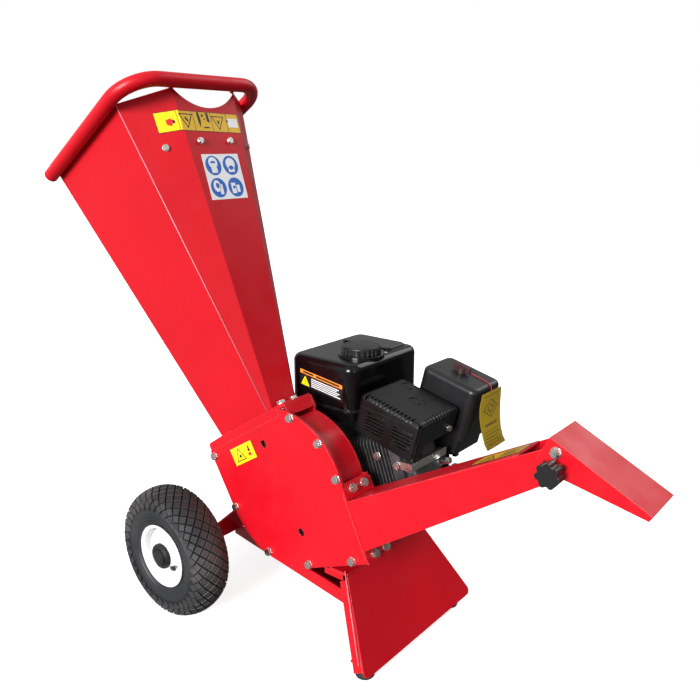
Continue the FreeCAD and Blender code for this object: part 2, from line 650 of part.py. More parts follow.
def chute_bolts():
    solids = []
    along = chute_at(1, 0, 0) - chute_at(0, 0, 0)
    for y in FLANGE_BOLT_Y:
        for t in CHUTE_BOLT_T:
            solids += bolted(chute_at(FLANGE_N + 3, y, t), along, 8, 6)
    return solids


DEFLECTOR_Y = (CASING_FRONT - SIDE_GAP - 3, CASING_BACK + SIDE_GAP + 3)
DEFLECTOR_TOP = (9.4, 12.0)


def deflector_side(y):
    top = DEFLECTOR_TOP[0]
    plate = slab([(-18, top), (139, top), (138.5, 3.4), (24, -27), (-10, -29),
                  ("arc", (-16, -27), (-18, -21))], deflector_at, y)
    return plate.cut(cross_rod(deflector_at, 0, 0, y, 4 + RUNNING))


def deflector():
    """Hood on the end of the chute: two side plates and a top plate; the near side is slotted."""
    near = deflector_side((DEFLECTOR_Y[0], DEFLECTOR_Y[0] + 3))
    far = deflector_side((DEFLECTOR_Y[1] - 3, DEFLECTOR_Y[1]))
    top = block(deflector_at, (-18, 139), DEFLECTOR_Y, DEFLECTOR_TOP)
    rest = STUD_ANGLE - DEFLECTOR_TILT
    ends = [math.radians(a) for a in (rest - DEFLECTOR_UP - 2, rest + DEFLECTOR_DOWN + 2)]
    half = 4.4
    inner, outer = STUD_RADIUS_OUT - half, STUD_RADIUS_OUT + half

    def polar(r, a):
        return (r * math.cos(a), r * math.sin(a))
    middle = sum(ends) / 2
    slot = slab([polar(inner, ends[0]), ("arc", polar(inner, middle), polar(inner, ends[1])),
                 polar(outer, ends[1]), ("arc", polar(outer, middle), polar(outer, ends[0]))],
                deflector_at, (DEFLECTOR_Y[0] - 1, DEFLECTOR_Y[0] + 4))
    near = near.cut(slot)
    for end in ends:
        near = near.cut(cross_rod(deflector_at, *polar(STUD_RADIUS_OUT, end),
                                  (DEFLECTOR_Y[0] - 1, DEFLECTOR_Y[0] + 4), half))
    return group([near, far, top])


def pivot_bolts():
    """Two short pivots: a head outside each deflector side and a nut inside the chute."""
    reach = 3 + 3 + SIDE_GAP * 2
    near = bolted(shaft_at(PIVOT[0], DEFLECTOR_Y[0] - SIDE_GAP, PIVOT[1]), (0, -1, 0), 8, reach)
    far = bolted(shaft_at(PIVOT[0], DEFLECTOR_Y[1] + SIDE_GAP, PIVOT[1]), (0, 1, 0), 8, reach)
    return group(near + far)


KNOB_Y = (-157.0, -139.0)


def clamp_knob():
    """Seven-lobed knob on the stud that clamps the deflector."""
    x, z = stud_place()
    body = cross_rod(shaft_at, x, z, (KNOB_Y[0], KNOB_Y[1]), 14.5)
    for k in range(7):
        angle = math.radians(90 + k * 360 / 7)
        body = body.fuse(cross_rod(shaft_at, x + 13 * math.cos(angle), z + 13 * math.sin(angle),
                                   KNOB_Y, 4.8))
    neck = rod(shaft_at(x, KNOB_Y[1], z), shaft_at(x, KNOB_Y[1] + 9, z), 8)
    return body.fuse(neck).removeSplitter()


def clamp_stud():
    x, z = stud_place()
    stud = cross_rod(shaft_at, x, z, (KNOB_Y[1] + 9, CASING_FRONT + 10), 4)
    washer = cross_rod(shaft_at, x, z, (KNOB_Y[1] + 9, DEFLECTOR_Y[0] - SIDE_GAP), 7.5)
    return stud.fuse(washer).removeSplitter()


# ---------------------------------------------------------------- rotor and crankshaft
ROTOR_Y = (-110.0, -60.0)
ROTOR_RADIUS = 112.0


def rotor():
    """Two discs on a hub with knife seats and throwing paddles between them."""
    body = tube(shaft_at(0, ROTOR_Y[0], 0), shaft_at(0, ROTOR_Y[1], 0), 24, SHAFT_RADIUS)
    for y in (ROTOR_Y[0], ROTOR_Y[1] - 6):
        body = body.fuse(tube(shaft_at(0, y, 0), shaft_at(0, y + 6, 0), ROTOR_RADIUS, 20))
    for turn in (0, 180):
        at = turned(turn + 60, SHAFT_X, SHAFT_Z)
        body = body.fuse(block(at, (84, 111), (ROTOR_Y[0] + 5, ROTOR_Y[1] - 5), (-16, 8)))
        at = turned(turn + 150, SHAFT_X, SHAFT_Z)
        body = body.fuse(block(at, (22, 111), (ROTOR_Y[0] + 5, ROTOR_Y[1] - 5), (-2.5, 2.5)))
    return body.removeSplitter()


def rotor_knives():
    knives = []
    for turn in (0, 180):
        at = turned(turn + 60, SHAFT_X, SHAFT_Z)
        tip = math.sqrt(KNIFE_REACH ** 2 - 8 ** 2)
        knives.append(slab([(88, 8), (tip, 8), (tip - 5, 16), (88, 16)], at,
                           (ROTOR_Y[0] + 7, ROTOR_Y[1] - 7)))
    return group(knives)


SHAFT_Y = (-114.0, 170.0)
CRANK_Y = (30.0, 74.0)


def crankshaft():
    """Shaft with two webs and an offset pin; it carries the rotor and the flywheel."""
    shaft = rod(shaft_at(0, SHAFT_Y[0], 0), shaft_at(0, CRANK_Y[0], 0), SHAFT_RADIUS)
    shaft = shaft.fuse(rod(shaft_at(0, CRANK_Y[1], 0), shaft_at(0, SHAFT_Y[1], 0), SHAFT_RADIUS))
    for y in (CRANK_Y[0], CRANK_Y[1] - 12):
        shaft = shaft.fuse(rod(shaft_at(0, y, 0), shaft_at(0, y + 12, 0), 40))
    pin = cross_rod(shaft_at, 27, 0, CRANK_Y, 11)
    return shaft.fuse(pin).removeSplitter()


def flywheel():
    wheel = tube(shaft_at(0, 112, 0), shaft_at(0, 130, 0), 94, SHAFT_RADIUS)
    hub = tube(shaft_at(0, 130, 0), shaft_at(0, 156, 0), 26, SHAFT_RADIUS)
    wheel = wheel.fuse(hub)
    for k in range(18):
        at = turned(k * 20, SHAFT_X, SHAFT_Z)
        wheel = wheel.fuse(block(at, (58, 92), (129, 146), (-1.5, 1.5)))
    return wheel.removeSplitter()


def starter_cup():
    cup = tube(shaft_at(0, 156, 0), shaft_at(0, 168, 0), 38, 34)
    base = tube(shaft_at(0, 156, 0), shaft_at(0, 159, 0), 35, SHAFT_RADIUS)
    return cup.fuse(base).removeSplitter()


# ---------------------------------------------------------------- engine
CASE_Y = (-20.0, 100.0)


def cover_bolt_places():
    return [(46 * math.cos(math.radians(a)), 46 * math.sin(math.radians(a))) for a in (45, 135, 225, 315)]


def crankcase():
    """Block with the crank space, the shaft bore and a foot flange."""
    deck = [cylinder_at(FIN_ALONG[0] - 2, 0, s) for s in (-52, 52)]
    case = slab([(112, 186), (288, 186), (deck[0].x, deck[0].z), (deck[1].x, deck[1].z),
                 (240, 386), (132, 386), (112, 364)], level, CASE_Y)
    case = case.makeFillet(8, [e for e in case.Edges
                               if abs(e.CenterOfMass.y - 40) < 1 and e.CenterOfMass.x < 235
                               and e.CenterOfMass.z > 200])
    foot = block(level, (104, 292), (-14, 94), (ENGINE_Z, 186.5))
    case = case.fuse(foot)
    case = case.cut(rod(shaft_at(0, 18, 0), shaft_at(0, 86, 0), 46))
    case = case.cut(cross_rod(shaft_at, 0, 0, (-40, 120), SHAFT_RADIUS + RUNNING))
    for x, y in mount_points():
        case = case.cut(rod((x, y, 150), (x, y, 260), 4))
        case = case.cut(rod((x, y, 186.5), (x, y, 204), 11))
    return case.removeSplitter()


def side_cover():
    """Cover on the shaft side, which the casing's back plate is bolted to."""
    cover = slab([(-80, -60), (-48, -82), (48, -82), (80, -60), (80, 48), (48, 80), (-48, 80), (-80, 48)],
                 shaft_at, (-30, CASE_Y[0]))
    boss = rod(shaft_at(0, CASING_BACK, 0), shaft_at(0, -29, 0), 60)
    cover = cover.fuse(boss).cut(cross_rod(shaft_at, 0, 0, (-60, 0), SHAFT_RADIUS + RUNNING))
    for x, z in cover_bolt_places():
        cover = cover.cut(cross_rod(shaft_at, x, z, (-60, -34), 4))
    return cover.removeSplitter()


def casing_mount_bolts():
    return [bolt(shaft_at(x, CASING_BACK - PLATE, z), (0, -1, 0), 8, PLATE + 12)
            for x, z in cover_bolt_places()]


FIN_ALONG = (80.0, 176.0)
HEAD_TRIM = [(240, 418), (460, 364), (460, 200), (240, 200)]


HEAD_BOLTS = ((154, -16, 15), (192, -14, -6))


def under_the_muffler(shape, y):
    """Keep what lies below the muffler."""
    return shape.common(slab(HEAD_TRIM, level, y))


def cylinder():
    """Barrel with cooling fins square to its axis."""
    y = (-16, 92)
    barrel = rod(cylinder_at(78, 38, 0), cylinder_at(178, 38, 0), 42)
    fins = [barrel]
    count = 13
    for k in range(count):
        a = FIN_ALONG[0] + k * (FIN_ALONG[1] - FIN_ALONG[0] - 2.4) / (count - 1)
        fin = block(cylinder_at, (a, a + 2.4), y, (-52, 52))
        fins.append(rounded(fin, 16, lambda m: abs(m.y - 38) > 50 and corner_of(m)))
    block_of_fins = under_the_muffler(fins[0].fuse(fins[1:]), (-60, 140))
    return block_of_fins.cut(bolt_bore(HEAD_BOLTS[0])).removeSplitter()


def corner_of(point):
    """True for a fin's corner edges, which lie 52 from the cylinder axis."""
    tilt = math.radians(CYLINDER_TILT)
    up = (point.z - SHAFT_Z) * math.cos(tilt) - (point.x - SHAFT_X) * math.sin(tilt)
    return abs(abs(up) - 52) < 0.5


def cylinder_head():
    head = block(cylinder_at, (178, 200), (-14, 90), (-50, 46))
    return under_the_muffler(head, (-60, 140)).cut(bolt_bore(HEAD_BOLTS[1]))


def rocker_cover():
    cover = block(cylinder_at, (200, 219), (-4, 70), (-44, 22))
    return cover.makeFillet(7, [e for e in cover.Edges
                                if (e.CenterOfMass - cylinder_at(219, 33, -11)).dot(
                                    cylinder_at(1, 0, 0) - cylinder_at(0, 0, 0)) > -0.5])


def head_bolts():
    """Two bolts on the near side of the cylinder and its head."""
    return [bolt(cylinder_at(a, y, up), (0, -1, 0), 8, 10) for a, y, up in HEAD_BOLTS]


def bolt_bore(place):
    a, y, up = place
    return cross_rod(cylinder_at, a, up, (y - 1, y + 10), 4)


def m8_bolts():
    """Every M8 bolt and nut: casing, hopper flange, chute flange, engine feet, engine face, head."""
    return group(casing_bolts() + hopper_flange_bolts() + chute_bolts() + engine_mount_bolts()
                 + casing_mount_bolts() + head_bolts())


def spark_plug():
    start, along = cylinder_at(200, 80, -30), cylinder_at(1, 0.0, 0) - cylinder_at(0, 0.0, 0)
    body = rod(start, start + along * 34, 6)
    nut_part = rod(start, start + along * 12, 9)
    return body.fuse(nut_part).removeSplitter()


MUFFLER_Y = (-20.0, 104.0)


def muffler():
    can = block(muffler_at, (10, 124), (-10, 94), (-44, -8))
    return can.makeFillet(10, [e for e in can.Edges if abs(e.CenterOfMass.y - 42) > 51])


COVER_BOLT = (80.0, -35.0)


def muffler_cover():
    """Heat shield: a folded box over the muffler, open below, slotted along its edges."""
    low = [(0, -74), (133, -74), (133, 0), (0, 0)]
    shell = slab(low, muffler_at, MUFFLER_Y)
    shell = shell.makeFillet(9, [e for e in shell.Edges if cover_top(e.CenterOfMass)])
    cuts = [block(muffler_at, (2, 131), (MUFFLER_Y[0] + 2, MUFFLER_Y[1] - 2), (-80, -3)),
            block(muffler_at, (-5, 140), (MUFFLER_Y[0] + 30, MUFFLER_Y[1] + 5), (-80, -46)),
            slab([(8, -23.5), (130, -8), (130, -6.5), (8, -22)], muffler_at, (-21, -19.2)),
            rod(muffler_at(125, *COVER_BOLT), muffler_at(140, *COVER_BOLT), 3)]
    for left, up in ((22, -28), (80, -26)):
        for row in range(6):
            sink = row * 6.6
            cuts.append(slab([(left, up - sink - 3), (left + 42, up - sink), (left + 42, up - sink + 3),
                              (left, up - sink)], muffler_at, (-24, -17)))
    for k in range(13):
        cuts.append(block(muffler_at, (11 + k * 8.2, 14.6 + k * 8.2), (-22, -6), (-9, 2)))
    for k in range(10):
        cuts.append(block(muffler_at, (120, 135), (4 + k * 8.6, 7.6 + k * 8.6), (-9, 2)))
    for along, y in ((32, 82), (76, 47.5)):
        cuts.append(tube(muffler_at(along, y, -1.6), muffler_at(along, y, 2), 17, 6))
    return shell.cut(cuts)


def cover_top(point):
    tilt = math.radians(COVER_TILT)
    up = (point.z - 460) * math.cos(tilt) - (point.x - 302) * math.sin(tilt)
    return up > -40


def exhaust_deflector():
    """Bent strap under the muffler outlet."""
    strap = block(level, (411.5, 414.5), (-18, 88), (340, 354))
    near = block(level, (390, 414.5), (-21, -18), (340, 354))
    return strap.fuse(near).removeSplitter()


CLEANER_Y = (113.0, 207.0)
CLEANER_TOP = 8.0


def air_cleaner_base():
    base = block(cleaner_at, (2, 112), (CLEANER_Y[0] + 2, CLEANER_Y[1] - 2), (-128, -98))
    base = base.makeFillet(10, [e for e in base.Edges if abs(e.Length - 30) < 0.1])
    return base.cut(rod(cleaner_at(40, 160, -140), cleaner_at(40, 160, -104), 16))


def air_cleaner_cover():
    top = CLEANER_TOP
    cover = block(cleaner_at, (0, 121), CLEANER_Y, (-98, top))
    cover = cover.makeFillet(16, [e for e in cover.Edges if abs(e.Length - 98 - top) < 0.1])
    tilt_up = cleaner_at(0, 0, 1) - cleaner_at(0, 0, 0)
    rim = [e for e in cover.Edges if (e.CenterOfMass - cleaner_at(0, 160, top)).dot(tilt_up) > -0.1]
    cover = cover.makeFillet(10, rim)
    inner = block(cleaner_at, (4, 117), (CLEANER_Y[0] + 4, CLEANER_Y[1] - 4), (-99, top - 5))
    inner = inner.makeFillet(13, [e for e in inner.Edges if abs(e.Length - 94 - top) < 0.1])
    cover = cover.cut(inner)
    return cover.cut(rod(cleaner_at(57, 160, top - 20), cleaner_at(57, 160, top + 5), 3.6))


def wing_knob():
    """Wing nut on the air cleaner stud."""
    low = CLEANER_TOP
    body = tube(cleaner_at(57, 160, low + 0.3), cleaner_at(57, 160, low + 9), 9, 3 + RUNNING)
    cap = rod(cleaner_at(57, 160, low + 9), cleaner_at(57, 160, low + 11), 9)
    wings = block(cleaner_at, (40, 74), (157.5, 162.5), (low + 3, low + 15))
    wings = wings.cut(rod(cleaner_at(57, 160, low), cleaner_at(57, 160, low + 9), 8))
    return body.fuse([cap, wings]).removeSplitter()


def carburettor():
    body = rod(cylinder_at(170, 92, -6), cylinder_at(170, 113, -6), 16)
    body = body.fuse(block(level, (340, 382), (104, 140), (308, 334)))
    bowl = rod((361, 122, 288), (361, 122, 312), 20)
    neck = rod(cleaner_at(40, 160, -150), cleaner_at(40, 160, -104), 14)
    elbow = block(level, (336, 372), (130, 174), (314, 336))
    return body.fuse([bowl, neck, elbow]).removeSplitter()


TANK_X, TANK_Y = (127.0, 285.0), (-20.0, 185.0)
TANK_Z = (396.0, 418.0, 503.0)


CAP_X, CAP_Y = 240.0, 58.0


def fuel_tank():
    """Pressed tank: a lower tray and an upper shell that meet in a welded seam lip."""
    low, seam, top = TANK_Z
    upper = block(level, TANK_X, TANK_Y, (seam, top))
    upper = upper.makeFillet(24, [e for e in upper.Edges if abs(e.Length - (top - seam)) < 0.1])
    crown = [e for e in upper.Edges if e.CenterOfMass.z > top - 0.1]
    upper = upper.makeFillet(14, crown)
    raised = block(level, (TANK_X[0] + 22, TANK_X[1] - 18), (104, TANK_Y[1] - 18), (top - 4, top + 5))
    raised = raised.makeFillet(14, [e for e in raised.Edges if abs(e.Length - 9) < 0.1])
    raised = raised.makeFillet(3.5, [e for e in raised.Edges if e.CenterOfMass.z > top + 4.9])
    tray = block(level, (TANK_X[0] + 6, TANK_X[1] - 6), (TANK_Y[0] + 6, TANK_Y[1] - 6), (low, seam))
    tray = tray.makeFillet(20, [e for e in tray.Edges if abs(e.Length - (seam - low)) < 0.1])
    lip = block(level, (TANK_X[0] - 3, TANK_X[1] + 3), (TANK_Y[0] - 3, TANK_Y[1] + 3),
                (seam - 4, seam))
    lip = lip.makeFillet(26, [e for e in lip.Edges if abs(e.Length - 4) < 0.1])
    neck = rod((CAP_X, CAP_Y, top - 4), (CAP_X, CAP_Y, top + 4), 44)
    tank = upper.fuse([tray, lip, neck, raised])
    return tank.removeSplitter()


def fuel_cap():
    """Screw cap with gripping ribs round its edge."""
    z = TANK_Z[2] + 4.3
    cap = rod((CAP_X, CAP_Y, z), (CAP_X, CAP_Y, z + 14), 35)
    cap = cap.makeFillet(3, [e for e in cap.Edges if e.CenterOfMass.z > z + 13])
    for k in range(24):
        angle = math.radians(k * 15)
        x, y = CAP_X + 35 * math.cos(angle), CAP_Y + 35 * math.sin(angle)
        cap = cap.fuse(rod((x, y, z), (x, y, z + 10.5), 2.2))
    return cap.removeSplitter()


FAN_Y = (CASE_Y[1], 162.0)


def fan_cover():
    """Blower housing round the flywheel, with a duct towards the cylinder."""
    outer = rod(shaft_at(0, FAN_Y[0], 0), shaft_at(0, FAN_Y[1], 0), 104)
    duct = slab([(236, 300), (304, 300), (304, 366), (236, 392), (150, 392), (150, 340)], level,
                (FAN_Y[0], 124))
    shell = outer.fuse(duct)
    space = rod(shaft_at(0, FAN_Y[0] + 3, 0), shaft_at(0, FAN_Y[1] - 3, 0), 100.5)
    shell = shell.cut(space)
    shell = shell.cut(cross_rod(shaft_at, 0, 0, (90, 108), SHAFT_RADIUS + 2))
    return shell.cut(cross_rod(shaft_at, 0, 0, (150, 170), 62))


RECOIL_Y = (FAN_Y[1], 196.0)


ROPE_UP = 51.0


def recoil_cover():
    """Recoil starter housing with cooling slots."""
    shell = rod(shaft_at(0, RECOIL_Y[0], 0), shaft_at(0, RECOIL_Y[1], 0), 84)
    shell = shell.makeFillet(12, [e for e in shell.Edges if e.CenterOfMass.y > RECOIL_Y[1] - 0.1])
    shell = shell.cut(rod(shaft_at(0, RECOIL_Y[0] - 1, 0), shaft_at(0, RECOIL_Y[1] - 3, 0), 78))
    for k in range(10):
        at = turned(k * 36, SHAFT_X, SHAFT_Z)
        shell = shell.cut(block(at, (44, 66), (RECOIL_Y[1] - 5, RECOIL_Y[1] + 1), (-4, 4)))
    rope_y = RECOIL_Y[0] + 12
    boss = block(shaft_at, (-92, -60), (RECOIL_Y[0], RECOIL_Y[0] + 24), (ROPE_UP - 11, ROPE_UP + 11))
    boss = boss.cut(rod(shaft_at(0, RECOIL_Y[0] - 1, 0), shaft_at(0, RECOIL_Y[1], 0), 78))
    eyelet = rod(shaft_at(-100, rope_y, ROPE_UP), shaft_at(-40, rope_y, ROPE_UP), 4.5)
    return shell.fuse(boss).cut(eyelet).removeSplitter()


def starter_grip():
    """Pull grip with the length of its rope that lies straight across the housing."""
    y, up, out = RECOIL_Y[0] + 12, ROPE_UP, -102.5
    grip = rod(shaft_at(out, y, up - 26), shaft_at(out, y, up + 26), 9)
    grip = grip.fuse([Part.makeSphere(9, shaft_at(out, y, up - 26)),
                      Part.makeSphere(9, shaft_at(out, y, up + 26))])
    rope = rod(shaft_at(out, y, up), shaft_at(52, y, up), 2.2)
    return grip.fuse(rope).removeSplitter()


def engine_switch_box():
    return block(level, (86, 118), (FAN_Y[0], FAN_Y[0] + 40), (352, 388))


def engine_switch():
    """Turning stop switch."""
    body = rod((102, FAN_Y[0] + 40.3, 370), (102, FAN_Y[0] + 46, 370), 13)
    bar = block(level, (98.5, 105.5), (FAN_Y[0] + 46, FAN_Y[0] + 54), (359, 381))
    return body.fuse(bar).removeSplitter()


def lever(pivot, length, angle, y):
    """Flat lever on a Y axis with a thumb pad at its end."""
    at = turned(angle, pivot[0], pivot[1])
    arm = block(at, (0, length), y, (-4, 4))
    hub = cross_rod(at, 0, 0, y, 8)
    pad = block(at, (length - 8, length), (y[0], y[1] + 8), (-7, 7))
    return arm.fuse([hub, pad]).removeSplitter()


LEVER_PANEL_Y = (176.0, 179.0)


def control_panel():
    """Plate beside the carburettor that carries the choke and fuel levers."""
    return block(level, (326, 366), LEVER_PANEL_Y, (248, 340))


THROTTLE_PIVOT = (258.0, 356.0)
CHOKE_PIVOT = (346.0, 296.0)
FUEL_PIVOT = (346.0, 264.0)


def throttle_lever():
    return lever(THROTTLE_PIVOT, 34, 90, (FAN_Y[1] + 3.3, FAN_Y[1] + 6.3))


def choke_lever():
    return lever(CHOKE_PIVOT, 34, 8, (LEVER_PANEL_Y[1] + 0.3, LEVER_PANEL_Y[1] + 3.3))


def fuel_lever():
    return lever(FUEL_PIVOT, 34, 8, (LEVER_PANEL_Y[1] + 0.3, LEVER_PANEL_Y[1] + 3.3))


def engine_brackets():
    """Tank struts, throttle bracket, lever panel and switch box."""
    struts = [block(level, (x, x + 16), (y, y + 16), (386, TANK_Z[0]))
              for x, y in ((140, -8), (212, -8), (140, 78), (212, 78))]
    throttle = cross_rod(level, THROTTLE_PIVOT[0], THROTTLE_PIVOT[1], (FAN_Y[1], FAN_Y[1] + 3), 9)
    return group(struts + [throttle, control_panel(), engine_switch_box()])


def oil_caps():
    """Yellow-topped dipstick caps low on both ends of the block."""
    solids = []
    block_body = crankcase()
    for x, sign in ((112, -1), (289, 1)):
        neck = rod((x, 70, 214), (x + sign * 16, 70, 222), 11)
        cap = rod((x + sign * 16, 70, 222), (x + sign * 26, 70, 227), 14)
        solids.append(neck.fuse(cap).cut(block_body))
    return group(solids)


TAG_X = 461.5


def hang_tag():
    """Wavy paper tag on the air cleaner's end."""
    points = [(124, 453), ("arc", (118, 430), (121, 406)), ("arc", (130, 374), (154, 336)),
              (222, 336), ("arc", (198, 368), (196, 394)), ("arc", (194, 426), (192, 453))]
    face = Part.Face(outline(points, lambda p: Vector(TAG_X, p[0], p[1])))
    eye = rod((TAG_X - 1, 160, 443.5), (TAG_X + 2, 160, 443.5), 4)
    return face.extrude(Vector(0.6, 0, 0)).cut(eye)


STRING_RADIUS = 0.9
STRING_ROUTE = [(60, 169.3, 10.0), (85, 171, 10.0), (106, 168, 9.8), (122.5, 165, 8.8),
                (126.6, 160, -6)]


def tag_string():
    """Thin cord from the wing knob over the cover's edge to the tag."""
    points = [cleaner_at(*p) for p in STRING_ROUTE]
    edges = []
    here = points[0]
    for k in range(1, len(points) - 1):
        before, point, after = points[k - 1], points[k], points[k + 1]
        run_in, run_out = (point - before).Length, (after - point).Length
        half_turn = (point - before).getAngle(after - point) / 2
        cut_back = 0.45 * min(run_in, run_out)
        radius = cut_back / math.tan(half_turn)
        first = point + (before - point).normalize() * cut_back
        last = point + (after - point).normalize() * cut_back
        toward = ((first + last) * 0.5 - point).normalize()
        middle = point + toward * (radius / math.cos(half_turn) - radius)
        edges += [Part.makeLine(here, first), Part.Arc(first, middle, last).toShape()]
        here = last
    edges.append(Part.makeLine(here, points[-1]))
    start = points[1] - points[0]
    profile = Part.Wire(Part.makeCircle(STRING_RADIUS, points[0], start))
    return Part.Wire(edges).makePipeShell([profile], True, False, 2)


# ---------------------------------------------------------------- every node
PIECES = {
    "axle": axle, "axle_collars": axle_collars, "axle_beam": axle_beam,
    "frame_rails": frame_rails, "deck_plate": deck_plate, "leg": leg,
    "rubber_feet": rubber_feet, "engine_pads": engine_pads,
    "m8_bolts": m8_bolts, "m6_bolts": m6_bolts,
    "tyre_front": lambda: tyre(-1), "rim_front": lambda: wheel_rim(-1),
    "hub_front": lambda: wheel_hub(-1),
    "tyre_back": lambda: tyre(1), "rim_back": lambda: wheel_rim(1),
    "hub_back": lambda: wheel_hub(1),
    "casing_front_plate": casing_front_plate, "casing_back_plate": casing_back_plate,
    "casing_wall": casing_wall, "bed_knife": bed_knife,
    "hopper_base": hopper_base, "hopper_panels": hopper_panels, "feed_flap": feed_flap,
    "handle_rail": handle_rail, "chute": chute,
    "deflector": deflector, "pivot_bolts": pivot_bolts,
    "clamp_knob": clamp_knob, "clamp_stud": clamp_stud,
    "rotor": rotor, "rotor_knives": rotor_knives, "crankshaft": crankshaft,
    "flywheel": flywheel, "starter_cup": starter_cup,
    "crankcase": crankcase, "side_cover": side_cover, "cylinder": cylinder,
    "cylinder_head": cylinder_head, "rocker_cover": rocker_cover, "spark_plug": spark_plug,
    "muffler": muffler, "muffler_cover": muffler_cover, "exhaust_deflector": exhaust_deflector,
    "air_cleaner_base": air_cleaner_base, "air_cleaner_cover": air_cleaner_cover,
    "wing_knob": wing_knob, "carburettor": carburettor, "fuel_tank": fuel_tank,
    "fuel_cap": fuel_cap, "fan_cover": fan_cover, "recoil_cover": recoil_cover,
    "starter_grip": starter_grip, "engine_brackets": engine_brackets, "oil_caps": oil_caps,
    "throttle_lever": throttle_lever, "choke_lever": choke_lever, "fuel_lever": fuel_lever,
    "engine_switch": engine_switch, "hang_tag": hang_tag, "tag_string": tag_string,
}


def save(name, shape):
    shape = shape.copy()
    shape.translate(Vector(AXLE_X, MIDDLE_Y, 0))
    shape.exportStep("parts/%s.step" % name)


os.makedirs("parts", exist_ok=True)
for name, make in PIECES.items():
    save(name, make())
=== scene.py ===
"""Looks of the wood chipper: paint, rubber, treads, labels, welds, tag and string, floor and light."""

import math
import random

import bpy
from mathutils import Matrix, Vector


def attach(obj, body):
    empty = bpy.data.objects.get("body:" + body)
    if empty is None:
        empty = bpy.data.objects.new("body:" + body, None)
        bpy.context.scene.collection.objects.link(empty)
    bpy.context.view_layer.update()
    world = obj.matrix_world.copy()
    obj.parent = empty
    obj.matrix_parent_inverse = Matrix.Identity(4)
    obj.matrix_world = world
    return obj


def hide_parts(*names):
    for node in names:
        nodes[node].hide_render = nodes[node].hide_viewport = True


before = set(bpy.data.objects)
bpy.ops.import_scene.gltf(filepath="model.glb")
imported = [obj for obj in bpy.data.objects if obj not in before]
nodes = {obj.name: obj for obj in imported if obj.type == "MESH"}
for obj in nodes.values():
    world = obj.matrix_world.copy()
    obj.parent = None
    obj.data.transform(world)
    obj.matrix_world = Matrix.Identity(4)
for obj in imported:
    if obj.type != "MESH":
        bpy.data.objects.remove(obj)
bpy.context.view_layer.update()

# ------------------------------------------------------------------ places, in millimetres from the axle
MM = 0.001
AXLE_X, MIDDLE_Y = -291.46, 3.6         # wheel axle and middle between the wheels, in the part's frame
SHAFT_X, SHAFT_Z = 198.0, 281.5         # engine and rotor shaft
HOPPER_TILT, CHUTE_TILT, CLEANER_TILT = 31.6, 25.2, -14.0
CASING_FRONT = -120.0
WHEEL_Y, WHEEL_Z = 214.0, 128.0


def turned(angle, x, z):
    """A frame turned about Y: returns at(along, y, up) in metres for a place measured from (x, z)."""
    cosine, sine = math.cos(math.radians(angle)), math.sin(math.radians(angle))

    def at(along, y, up):
        return Vector((AXLE_X + x + along * cosine - up * sine, MIDDLE_Y + y,
                       z + along * sine + up * cosine)) * MM
    return at


level = turned(0.0, 0.0, 0.0)
hopper_at = turned(HOPPER_TILT, SHAFT_X, SHAFT_Z)
chute_at = turned(CHUTE_TILT, SHAFT_X, SHAFT_Z)
cleaner_at = turned(CLEANER_TILT, 339.0, 480.0)
leg_at = turned(27.9, 421.0, 27.0)      # earlier place of the leg, a few millimetres off the present one


# ------------------------------------------------------------------ camera
camera = bpy.data.objects.new("camera", bpy.data.cameras.new("camera"))
bpy.context.scene.collection.objects.link(camera)
camera.location = level(1089.7, -1005.7, 883.3)
AZIMUTH, ELEVATION = math.radians(39.5), math.radians(15.3)
toward_camera = Vector((math.sin(AZIMUTH) * math.cos(ELEVATION),
                        -math.cos(AZIMUTH) * math.cos(ELEVATION), math.sin(ELEVATION)))
camera.rotation_mode = "QUATERNION"
camera.rotation_quaternion = (-toward_camera).to_track_quat("-Z", "Y")
camera.data.lens = 38.83
camera.data.clip_start, camera.data.clip_end = 0.01, 100.0
bpy.context.scene.camera = camera


